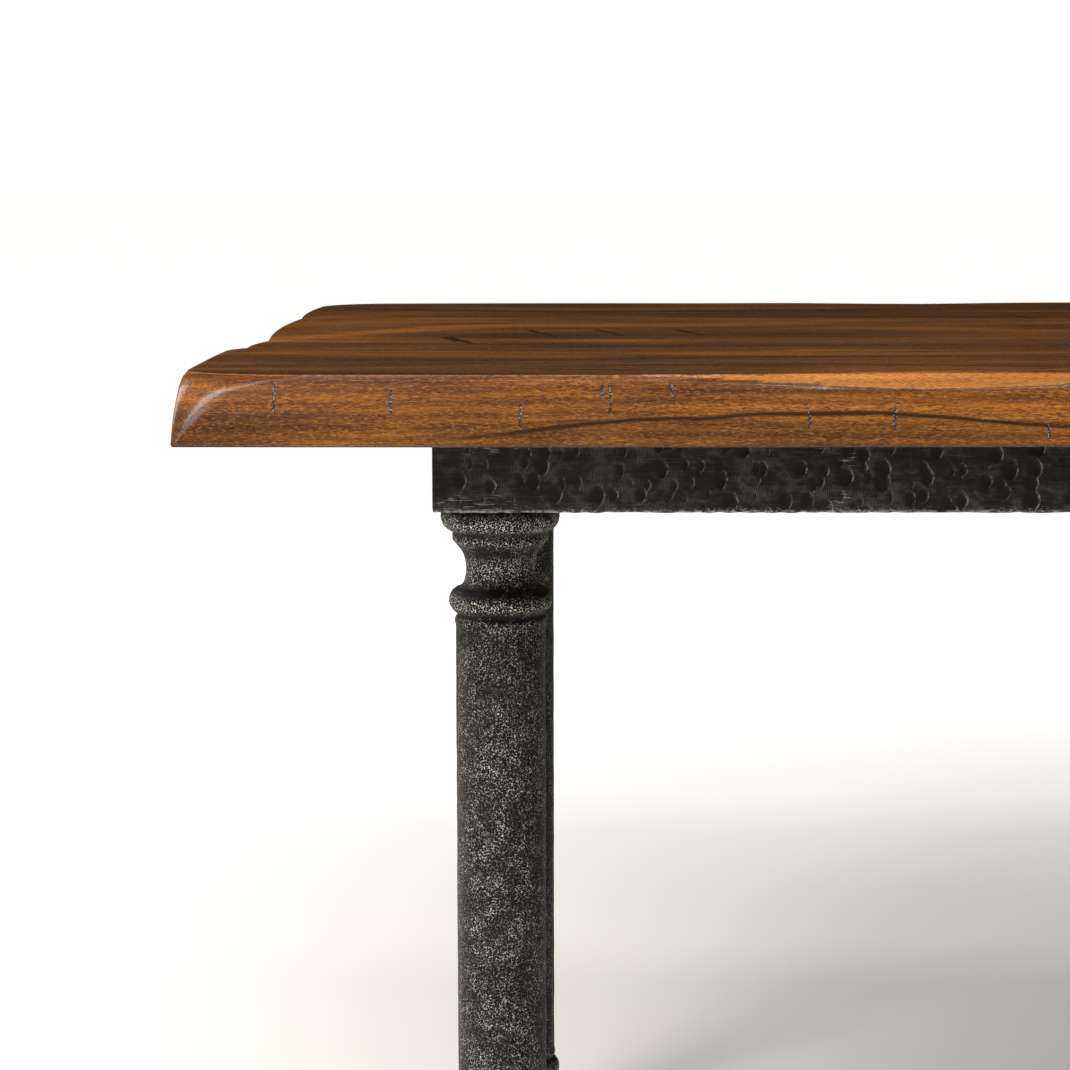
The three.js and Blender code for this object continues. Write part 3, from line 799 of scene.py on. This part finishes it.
def part_at(board, y, side):
    """Cuts a board off at y, throws away what is on that side of it, and closes the cut."""
    everything = board.verts[:] + board.edges[:] + board.faces[:]
    cut = bmesh.ops.bisect_plane(board, geom=everything, dist=1e-7, plane_co=(0, y, 0),
                                 plane_no=(0, side, 0), clear_outer=True)
    edges = [e for e in cut["geom_cut"] if isinstance(e, bmesh.types.BMEdge)]
    bmesh.ops.contextual_create(board, geom=edges)


# ---------------------------------------------------------------- the gouged aprons
# How far apart the points of a gouged face are, along it and up it.
GRID = (0.75, 1.5)
SCOOP = {"length": 21, "height": 15, "depth": 1.25, "apart": 15, "rows": 11, "crescent": 4.5}
SMOOTH_END = 50  # how far from its ends an apron is gouged only lightly
APRON_ROUNDING = 1.6  # of the lower edge; the upper one is hidden under the top
TOP_ROUNDING = 0.8


def gouges(length, height, seed):
    """The gouge cuts over a face: the places along and up it, how deep they are, and how worn and lit: 1 on
    the rims of the crescents, worn and partly a painted highlight, and down to -1 deep in the cuts, painted
    as shade."""
    rng = np.random.default_rng(seed)
    along = np.linspace(0, length, round(length / GRID[0]) + 1)
    up = np.linspace(0, height, round(height / GRID[1]) + 1)
    depth = np.zeros((len(along), len(up)))
    rim = np.zeros(depth.shape)
    for row in np.arange(-1, height / SCOOP["rows"] + 1):
        for step in np.arange(-1, length / SCOOP["apart"] + 1):
            x = (step + rng.uniform(-0.42, 0.42) + 0.5 * (row % 2)) * SCOOP["apart"]
            z = (row + rng.uniform(-0.35, 0.35)) * SCOOP["rows"]
            size, strength = rng.uniform(0.7, 1.15), rng.uniform(0.3, 1.1)
            if rng.random() > 0.2:
                light = 0.25 + 0.75 * min(max(min(x, length - x) / SMOOTH_END, 0), 1)
                cut_scoop(depth, rim, along, up, x, z, size, strength * light)
    return along, up, depth, np.where(rim > 0.05, rim, -np.clip(depth / SCOOP["depth"], 0, 1))


def cut_scoop(depth, rim, along, up, x, z, size, strength):
    """Cuts one scoop into the depth array: it deepens up to a steep crescent at x, where its rim is."""
    length, half = SCOOP["length"] * size, SCOOP["height"] * size / 2
    rows = np.nonzero(abs(up - z) < half)[0]
    columns = np.nonzero((along > x - length) & (along < x + SCOOP["crescent"]))[0]
    if not len(rows) or not len(columns):
        return
    block = np.ix_(columns, rows)
    across = (up[rows][None, :] - z) / half
    left = x + SCOOP["crescent"] * (0.5 - across**2) - along[columns][:, None]
    share = np.clip(1 - left / length, 0, 1)
    cut = SCOOP["depth"] * size * strength * share**2 * np.clip(left / 1.8, 0, 1) * (1 - across**2)
    line = strength * np.exp(-(((left - 0.5) / 0.45) ** 2)) * (1 - across**4)
    deepest = cut > depth[block]
    rim[block] = np.where(deepest, line, rim[block])
    depth[block] = np.maximum(depth[block], cut)


def rounded_in(share, radius):
    """How far in a rounded edge is, for shares of 0 where the rounding starts to 1 at the edge."""
    return radius * (1 - np.sqrt(1 - share**2 * 0.96))


def apron_section(up, cut, half_thick, height):
    """One cross-section of an apron as [out, z] points: its gouged outer face upwards, then over the top,
    down the inner face and back under it."""
    outer = np.stack([half_thick - cut, up], axis=1)
    bottom_share = np.clip(1 - up / APRON_ROUNDING, 0, 1)
    top_share = np.clip((up - height) / TOP_ROUNDING + 1, 0, 1)
    outer[:, 0] -= rounded_in(bottom_share, APRON_ROUNDING) + rounded_in(top_share, TOP_ROUNDING)
    top = [[t, height] for t in np.linspace(half_thick - 2.5, -half_thick + 1, 5)]
    inner = [[-half_thick, z] for z in np.linspace(height - 1, 1, 9)]
    bottom = [[t, 0] for t in np.linspace(-half_thick + 1, half_thick - 2.5, 8)]
    return np.vstack([outer, top, inner, bottom])


def gouged_beam(name, length, height, thick, place, seed, material, node):
    """A gouged beam. place() turns (along, out, up) into the table's frame."""
    along, up, depth, wear_and_painted_light = gouges(length, height, seed)
    wear_and_painted_light[:, up < 2] = np.maximum(wear_and_painted_light[:, up < 2], 0.8)
    sections = []
    for x, cut in zip(along, depth):
        section = apron_section(up, cut, thick / 2, height)
        sections.append(np.column_stack([np.full(len(section), x), section]))
    sections = np.array(sections)
    under = (sections[:, :, 2] < 0.01).astype(float)
    nibbled = 0.5 + 0.5 * soft_noise(sections.reshape(-1, 3), (7, 60, 60), seed).reshape(under.shape)
    near_front = np.clip((sections[:, :, 1] + thick / 2) / thick, 0, 1)
    sections[:, :, 2] += under * nibbled * near_front * 0.9
    full_wear_and_light = np.zeros(under.shape)
    full_wear_and_light[:, :len(up)] = wear_and_painted_light
    full_wear_and_light[:, -3:] = 0.6
    sections, full_wear_and_light = close_ends(sections, full_wear_and_light)
    points = place(sections.reshape(-1, 3)).reshape(sections.shape)
    ring_piece(name, points, TABLE, material, node, 50, full_wear_and_light.ravel())


def close_ends(sections, wear_and_painted_light):
    """Adds rings that round each end of a beam over and fill it in."""
    ends = []
    for section, inward in ((sections[0], 1), (sections[-1], -1)):
        middle = section.mean(axis=0)
        rings = []
        for shrink, back in ((0.62, 0.0), (0.9, 0.0), (0.975, 0.25)):
            ring = middle + (section - middle) * shrink
            ring[:, 0] = section[0, 0] + inward * back
            rings.append(ring)
        section[:, 0] += inward * 0.9
        ends.append(rings)
    start, finish = ends
    whole = np.array(start + list(sections) + finish[::-1])
    edge = np.full((len(start), wear_and_painted_light.shape[1]), 0.3)
    return whole, np.vstack([edge, wear_and_painted_light, edge])


def add_aprons():
    material = gouged_black()
    for number, name in enumerate(("front", "right", "back", "left")):
        low, high = box_mm(f"apron_{name}")
        if name in ("left", "right"):
            # the end aprons' tenons reach past their shoulders, which stop at the long aprons
            low[1], high[1] = APRON_HIGH[1] + 0.3, -APRON_HIGH[1] - 0.3
        size = high - low
        length, thick = (size[0], size[1]) if name in ("front", "back") else (size[1], size[0])
        middle = (low + high) / 2
        turn = np.array(Matrix.Rotation(number * math.pi / 2, 3, "Z"))

        def place(points, middle=middle, turn=turn, length=length, low=low):
            local = np.stack([points[:, 0] - length / 2, -points[:, 1], points[:, 2]], axis=1)
            return local @ turn.T + [middle[0], middle[1], low[2]]

        gouged_beam(f"gouged_apron_{name}", length, size[2], thick, place, SEED + 10 + number, material,
                    f"apron_{name}")


# ---------------------------------------------------------------- the turned legs
# The head's turning, from the seat under the apron down to the column, as smooth runs of
# [radius, distance below the seat, how bright it is: worn dry-brushing, and partly a painted highlight on the
# lower halves of the collar and the ring and the middle of the neck] that meet at edges.
COLUMN_RADIUS = 31.75
COLUMN_WORN = 0.2
HEAD_RUNS = [
    [[38.6, 0, 0.1], [41.0, 2.4, 0.2], [41.9, 6, 0.5], [41.6, 9.5, 0.9], [40.2, 12.8, 1], [37.6, 15.6, 0.4],
     [34.4, 17.4, 0]],
    [[33.8, 18.4, 0], [33.9, 21, 0.5], [33.6, 23.8, 0.7]],
    [[32.6, 24.8, 0.4], [30, 28, 0.1], [27, 32, 0], [25.2, 37, 0.4], [24.2, 43, 0.9], [24.6, 49, 0.5],
     [26.2, 54, 0.15], [28.8, 57, 0]],
    [[31.4, 57.6, 0], [34.2, 60, 0], [35.9, 63.2, 0.4], [36.3, 66.2, 1], [35.8, 69.4, 0.9], [34.2, 72.2, 0.2],
     [31.6, 74.8, 0]],
    [[30.5, 75.8, 0], [30.5, 77, 0]],
    [[31.8, 77.8, 0.2], [32.5, 80.2, 0.3], [COLUMN_RADIUS, 84, COLUMN_WORN]],
]
PROFILE_STEP = 1.3
LEG_SIDES = 144
COLUMN_STEP = 3.0
CORE_RADIUS = 20
CORE_TOP = SEAT - 78
# The top of the head, in to the spigot and up over it: [radius, height above the seat].
SPIGOT = [[34, 0.05], [15.2, 0.05], [15, 1], [15, 19], [14, 20], [7, 20], [6.5, 19]]


def leg_profile(foot):
    """The whole leg as [radius, z, brightness, worn and partly a painted highlight]: down its core, out at
    the foot, and up outside to the spigot.
    """
    head = [point for run in HEAD_RUNS for point in smooth_run(run, PROFILE_STEP)]
    lower = [[r, foot + down, worn] for r, down, worn in head]
    upper = [[r, SEAT - down, worn] for r, down, worn in reversed(head)]
    rises = np.arange(lower[-1][1] + COLUMN_STEP, upper[0][1] - 2, COLUMN_STEP)
    column = [[COLUMN_RADIUS, z, COLUMN_WORN] for z in rises]
    core = [[0.5, CORE_TOP, 0], [CORE_RADIUS - 6, CORE_TOP - 4, 0], [CORE_RADIUS, CORE_TOP - 12, 0]]
    core += [[CORE_RADIUS, z, 0] for z in np.linspace(CORE_TOP - 12, foot + 1, 12)[1:]]
    core.append([CORE_RADIUS + 1, foot, 0])
    spigot = [[r, SEAT + rise, 0] for r, rise in SPIGOT]
    return np.array(core + lower + column + upper + spigot)


def cast_surface(points, axis, seed):
    """Casting lumps and sand grain, cut in only, so that the leg stays inside its true size."""
    flat = points.reshape(-1, 3)
    out = flat[:, :2] - axis
    radius = np.linalg.norm(out, axis=1)
    lumps = 0.32 * (1 + soft_noise(flat, (11, 11, 14), seed)) / 2
    pits = 0.22 * (1 + soft_noise(flat, (2.6, 2.6, 2.6), seed + 1)) / 2
    outside = (radius > 22) & (flat[:, 2] < SEAT)
    cut = (lumps + pits) * outside
    flat[:, :2] -= out / np.maximum(radius, 1e-6)[:, None] * cut[:, None]
    return flat.reshape(points.shape)


def add_legs():
    material = cast_iron()
    for number, corner in enumerate(CORNERS):
        axis = corner_axis(corner)
        low, _ = box_mm(f"leg_{corner}")
        profile = leg_profile(low[2])
        points = turned_points(profile[:, :2], axis, LEG_SIDES)
        points = cast_surface(points, axis, SEED + 30 + 2 * number)
        wear_and_painted_light = np.repeat(np.clip(profile[:, 2], 0, 1), LEG_SIDES)
        ring_piece(f"cast_leg_{corner}", points, TABLE, material, f"leg_{corner}", 50, wear_and_painted_light)


# ---------------------------------------------------------------- levelling feet
THREAD_PITCH = 1.5
THREAD_RADIUS = 4.95
THREAD_DEPTH = 0.8
STUD_SIDES = 48
STUD_END = 6.4  # the ball-ended foot's radius
HEXAGON = {"flats": 7.36, "corner": 8.35, "chamfered": 7.0, "chamfer": 0.9, "height": 5}
PLUG_BORE = 5.3
PAD_LOBES = 24
PAD_SOCKET = 6.8


def hexagon_radius(turn):
    """The radius of a hexagon with rounded corners, at an angle."""
    away = (turn + math.pi / 6) % (math.pi / 3) - math.pi / 6
    return np.minimum(HEXAGON["flats"] / np.cos(away), HEXAGON["corner"])


def stud_rings(axis, low, high, hex_high):
    """A screw stud: a ball-ended foot, a hexagon for a spanner, and a rolled thread up to a chamfered end."""
    turn = angles(STUD_SIDES)
    hex_low = hex_high - HEXAGON["height"]
    levels = rounded_profile([(0.4, low, 0), (STUD_END, low, 1.5), (STUD_END, hex_low - 0.8, 0.5),
                              (5.2, hex_low, 0)])
    hexagon, chamfered, chamfer = hexagon_radius(turn), HEXAGON["chamfered"], HEXAGON["chamfer"]
    levels += [(np.minimum(hexagon, chamfered), hex_low + 0.05), (hexagon, hex_low + chamfer),
               (hexagon, hex_high - chamfer), (np.minimum(hexagon, chamfered), hex_high)]
    for z in np.arange(hex_high + 0.05, high - 1.2, THREAD_PITCH / 6):
        phase = (z / THREAD_PITCH - turn / (2 * math.pi)) % 1
        run_out = min((z - hex_high) / 3, 1)
        levels.append((THREAD_RADIUS - THREAD_DEPTH * run_out * (1 - abs(2 * phase - 1)), z))
    levels += [(4.2, high - 0.9), (3.4, high), (0.4, high)]
    return level_rings(levels, axis, turn)


def add_feet():
    steel, nylon = zinc_steel(), moulded_nylon()
    for corner in CORNERS:
        axis = corner_axis(corner)
        low, high = box_mm(f"foot_stud_{corner}")
        plug_low, plug_high = box_mm(f"foot_plug_{corner}")
        leg_low, _ = box_mm(f"leg_{corner}")
        ring_piece(f"levelling_stud_{corner}", stud_rings(axis, low[2], high[2], leg_low[2] - 0.3),
                   f"stud_{corner}", steel, f"foot_stud_{corner}", 35)
        rim = (plug_high - plug_low)[0] / 2 - 0.2
        plug = rounded_profile([(PLUG_BORE, plug_high[2], 0), (PLUG_BORE, plug_low[2], 0.8),
                                (rim, plug_low[2], 1.0), (rim, plug_high[2], 1.0),
                                (PLUG_BORE + 0.01, plug_high[2], 0)])
        ring_piece(f"threaded_plug_{corner}", turned_points(plug[:-1], axis, 72), TABLE, steel,
                   f"foot_plug_{corner}", closed=True)
        add_pad(corner, axis, nylon)


def add_pad(corner, axis, material):
    """A moulded foot with a fluted skirt and a socket for the stud's end."""
    low, high = box_mm(f"foot_pad_{corner}")
    outer = (high - low)[0] / 2
    top, bottom = high[2], low[2]
    profile = rounded_profile([
        (0.5, bottom + 0.4, 0), (outer * 0.55, bottom + 0.4, 0.3), (outer * 0.6, bottom, 0.3),
        (outer - 0.2, bottom, 1.4), (outer - 0.2, bottom + 4, 1.2), (12.4, top - 2, 3), (11.2, top, 0.8),
        (PAD_SOCKET, top, 0.5), (PAD_SOCKET, bottom + 3.7, 0.5), (0.5, bottom + 3.7, 0)], step=2)
    ring_piece(f"nylon_pad_{corner}", fluted(turned_points(profile, axis, 144), axis), f"pad_{corner}",
               material, f"foot_pad_{corner}")


def fluted(points, axis):
    """Cuts flutes into a pad's skirt."""
    out = points[:, :, :2] - axis
    radius = np.linalg.norm(out, axis=2)
    turn = np.arctan2(out[:, :, 1], out[:, :, 0])
    on_skirt = np.clip((radius - 20.5) / 2.5, 0, 1)
    flute = 0.45 * on_skirt * (0.5 - 0.5 * np.cos(PAD_LOBES * turn))
    points[:, :, :2] -= out / np.maximum(radius, 1e-6)[:, :, None] * flute[:, :, None]
    return points


# ---------------------------------------------------------------- clips and screws under the top
CLIPS = 8
CLIP_THICK = 2
CLIP_BEND = 1.6
CLIP_WIDTH = 22
# Each corner of a clip's section is two points: how far in, and the share of half the thickness.
CLIP_CORNER = ((0.35, 1.0), (0.0, 0.65))
TONGUE = 8  # how far the tongue goes beyond the apron's inner face
WEB_GAP = 2
SCREW = {"head": 4.5, "neck": 2.5, "dome": 1.7, "shank": 1.45, "thread": 0.65, "pitch": 1.8, "point": 6}
SCREW_SIDES = 48


def bent_strip(centre_line):
    """A strip of sheet bent along a line of [across, z] points, as an array of cross-sections."""
    line = np.array(centre_line, float)
    ahead = np.gradient(line, axis=0)
    ahead /= np.linalg.norm(ahead, axis=1, keepdims=True)
    normal = np.stack([-ahead[:, 1], ahead[:, 0]], axis=1) * CLIP_THICK / 2
    sections = []
    for point, up in zip(line, normal):
        ring = []
        for side, level in ((-1, -1), (1, -1), (1, 1), (-1, 1)):
            for inset, lift in CLIP_CORNER if side == level else CLIP_CORNER[::-1]:
                place = point + up * level * lift
                ring.append((side * (CLIP_WIDTH / 2 - inset), place[0], place[1]))
        sections.append(ring)
    return np.array(sections)


def clip_line(z_low, z_high, tongue, flange, web):
    """The clip's bends: a tongue, a web up the apron's face and a flange along the underside."""
    corners = [np.array([[tongue, z_low]]), np.array([[web, z_low]]), np.array([[web, z_high]]),
               np.array([[-flange, z_high]])]
    return [ring[0] for ring in rounded_rings(corners, [0, CLIP_BEND, CLIP_BEND, 0], [3, 3, 6])]


def outward(low, high):
    """The way a clip's tongue points, into its apron, from the corners of its CAD box."""
    axis = 0 if (high - low)[0] > (high - low)[1] else 1
    out = np.zeros(2)
    out[axis] = math.copysign(1, (low + high)[axis])
    return out


def add_clips():
    steel = zinc_steel()
    for i in range(1, CLIPS + 1):
        low, high = box_mm(f"top_clip_{i}")
        out = outward(low, high)
        side = np.array([out[1], -out[0]])
        reaches = [low[:2] @ out, high[:2] @ out]
        centre = (low[:2] + high[:2]) / 2 @ side
        line = clip_line(low[2] + CLIP_THICK / 2, high[2] - CLIP_THICK / 2, max(reaches), -min(reaches),
                         max(reaches) - TONGUE - WEB_GAP)
        sections = bent_strip(line)
        plan = sections[:, :, :1] * side + sections[:, :, 1:2] * out + centre * side
        ring_piece(f"z_clip_{i}", np.concatenate([plan, sections[:, :, 2:]], axis=2), TABLE,
                   steel, f"top_clip_{i}", 35)
        add_screw(i, steel)


def add_screw(i, steel):
    """A pan-head wood screw, point up, with a cross recess in its head and a coarse thread."""
    low, high = box_mm(f"top_clip_screw_{i}")
    axis, bottom, tip = ((low + high) / 2)[:2], low[2], high[2]
    turn = angles(SCREW_SIDES)
    levels = []
    for share in np.linspace(0.1, 1, 9):
        radius = SCREW["head"] * math.sin(share * math.pi / 2) * 0.97
        z = bottom + SCREW["dome"] * (1 - math.cos(share * math.pi / 2)) ** 1.2
        arm = np.minimum(abs(radius * np.cos(turn)), abs(radius * np.sin(turn)))
        recess = 1.1 * np.clip((0.75 - arm) / 0.3, 0, 1) * np.clip((2.6 - radius) / 0.8, 0, 1)
        levels.append((radius, z + recess))
    neck = bottom + SCREW["neck"]
    levels += [(SCREW["head"], bottom + 2.1), (SCREW["head"], neck), (2.0, neck)]
    for z in np.arange(neck + 0.3, tip - 0.2, 0.3):
        phase = (z / SCREW["pitch"] - turn / (2 * math.pi)) % 1
        taper = np.clip((tip - z) / SCREW["point"], 0.08, 1)
        thread = SCREW["thread"] * np.clip(1 - 3 * abs(phase - 0.5), 0, 1)
        levels.append(((SCREW["shank"] + thread) * taper, z))
    ring_piece(f"clip_screw_{i}", level_rings(levels, axis, turn), TABLE, steel,
               f"top_clip_screw_{i}", 35)


# ---------------------------------------------------------------- CAD nodes that keep their own shape
def keep_node(node, material, bevel):
    """A CAD node that stays, with a new material and softened edges."""
    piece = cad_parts[node]
    piece.data.materials.clear()
    piece.data.materials.append(material)
    softened = piece.modifiers.new("softened edges", "BEVEL")
    softened.width = bevel * MM
    softened.segments = 2
    softened.limit_method = "ANGLE"
    softened.angle_limit = math.radians(35)
    softened.use_clamp_overlap = True


def keep_frame_parts():
    wood, steel = frame_hardwood(), zinc_steel()
    for side in ("left", "right"):
        keep_node(f"cross_rail_{side}", wood, 0.8)
    for corner in CORNERS:
        keep_node(f"corner_block_{corner}", wood, 0.8)
        keep_node(f"leg_washer_{corner}", steel, 0.25)
        keep_node(f"leg_bolt_{corner}", steel, 0.5)


# ---------------------------------------------------------------- stage, light and camera
FLOOR_SIZE = 240.0
FLOOR_SQUARES = 24
FLOOR_FADE = (0.8, 3.2)  # how far out the floor turns from a lit surface to the white of the backdrop
FLOOR_LIFT = 0.75
WHITE = (1, 1, 1, 1)
SURROUND = (0.01, 0.55)  # the surround's light on its dark and its bright side
SURROUND_COLOUR = (1, 0.98, 0.95, 1)
BRIGHT_SIDE = (-0.4, -0.5, 0.77)
KEY = {"towards": (0.4, 0.86, -0.32), "strength": 0.8, "angle": 15}
BOX_COLOUR = (1, 0.95, 0.9)
# The soft boxes: name, place, what each is aimed at, size and watts.
SOFT_BOXES = [
    ("over_box", (-0.3, -0.75, 2.9), (-0.3, -0.45, 0.75), (1.7, 0.5), 22),
    ("strip_box", (-0.4, -2.1, 2.45), (-0.4, -0.45, 0.75), (2.4, 0.3), 60),
    ("ridge_box", (-1.96, -1.9, 2.4), (-0.75, -0.43, 0.74), (0.7, 1.3), 75),
    ("left_box", (-2.65, 0.6, 1.9), (-0.75, -0.43, 0.74), (1.2, 1.5), 64),
    ("back_box", (0.2, 2.0, 3.2), (-0.2, 0, 0.6), (2.2, 0.8), 7),
]
CAMERA = {"place": (-0.5017058, -2.1784415, 0.8928906), "yaw": 0.0182, "pitch": -0.1331, "roll": -0.0022,
          "lens": 93.46, "sensor": 36.0}


def add_floor():
    """A pale floor, a little uneven in tone, that meets the white backdrop far out."""
    row = FLOOR_SQUARES + 1
    ticks = np.linspace(-FLOOR_SIZE / 2, FLOOR_SIZE / 2, row)
    points = [(x, y, 0.0) for y in ticks for x in ticks]
    faces = [(low, low + 1, low + row + 1, low + row)
             for j in range(FLOOR_SQUARES) for low in range(j * row, j * row + FLOOR_SQUARES)]
    mesh = bpy.data.meshes.new("floor")
    mesh.from_pydata(points, [], faces)
    m = Material("pale_floor", IOR=1.3, Emission_Color=WHITE)
    seen = m.value("ShaderNodeLightPath", output="Is Camera Ray")
    lift = m.fade(m.distance((0, 0, 0)), *FLOOR_FADE) * FLOOR_LIFT * seen
    m.feed(m.shader.inputs["Emission Strength"], lift)
    tone = m.noise((800, 800, 800), detail=3)
    mesh.materials.append(m.finish(m.ramp(tone, (0.2, 208, 208, 206), (0.8, 214, 214, 212)), 0.9))
    add_object("floor", mesh)


def add_world():
    """A white backdrop to the camera. As light, a dimmer surround that is darker low down at the back."""
    world = bpy.data.worlds.new("studio")
    bpy.context.scene.world = world
    world.use_nodes = True
    tree = world.node_tree
    tree.nodes.clear()
    kinds = ("LightPath", "TexCoord", "VectorMath", "MapRange", "Background", "Background", "MixShader",
             "OutputWorld")
    path, place, height, rise, seen, lit, blend, out = [tree.nodes.new(f"ShaderNode{kind}") for kind in kinds]
    height.operation = "DOT_PRODUCT"
    height.inputs[1].default_value = BRIGHT_SIDE
    seen.inputs["Color"].default_value = WHITE
    lit.inputs["Color"].default_value = SURROUND_COLOUR
    rise.inputs["From Min"].default_value, rise.inputs["From Max"].default_value = 0.0, 0.9
    rise.inputs["To Min"].default_value, rise.inputs["To Max"].default_value = SURROUND
    links = [(place.outputs["Generated"], height.inputs[0]), (height.outputs["Value"], rise.inputs[0]),
             (rise.outputs[0], lit.inputs["Strength"]), (path.outputs["Is Camera Ray"], blend.inputs[0]),
             (lit.outputs[0], blend.inputs[1]), (seen.outputs[0], blend.inputs[2]),
             (blend.outputs[0], out.inputs[0])]
    for start, end in links:
        tree.links.new(start, end)


def facing(direction):
    """The turn that points a light along a direction."""
    return direction.to_track_quat("-Z", "Y").to_euler()


def add_lights():
    sun = bpy.data.lights.new("key", "SUN")
    sun.energy, sun.angle = KEY["strength"], math.radians(KEY["angle"])
    add_object("key", sun).rotation_euler = facing(Vector(KEY["towards"]))
    for name, place, target, size, watts in SOFT_BOXES:
        data = bpy.data.lights.new(name, "AREA")
        data.shape = "RECTANGLE"
        data.size, data.size_y = size
        data.energy = watts
        data.color = BOX_COLOUR
        light = add_object(name, data)
        light.location = place
        light.rotation_euler = facing(Vector(target) - Vector(place))


def add_camera():
    data = bpy.data.cameras.new("camera")
    data.lens, data.sensor_width = CAMERA["lens"], CAMERA["sensor"]
    data.clip_end = 100
    camera = add_object("camera", data)
    turn = Matrix.Rotation(CAMERA["yaw"], 4, "Z")
    tilt = Matrix.Rotation(math.pi / 2 + CAMERA["pitch"], 4, "X")
    roll = Matrix.Rotation(CAMERA["roll"], 4, "Z")
    camera.matrix_world = Matrix.Translation(CAMERA["place"]) @ turn @ tilt @ roll
    bpy.context.scene.camera = camera


def add_stage():
    add_floor()
    add_world()
    add_lights()
    add_camera()
    settings = bpy.context.scene.view_settings
    settings.view_transform = "Standard"
    settings.look = "None"


add_top()
add_aprons()
add_legs()
add_feet()
add_clips()
keep_frame_parts()
add_stage()
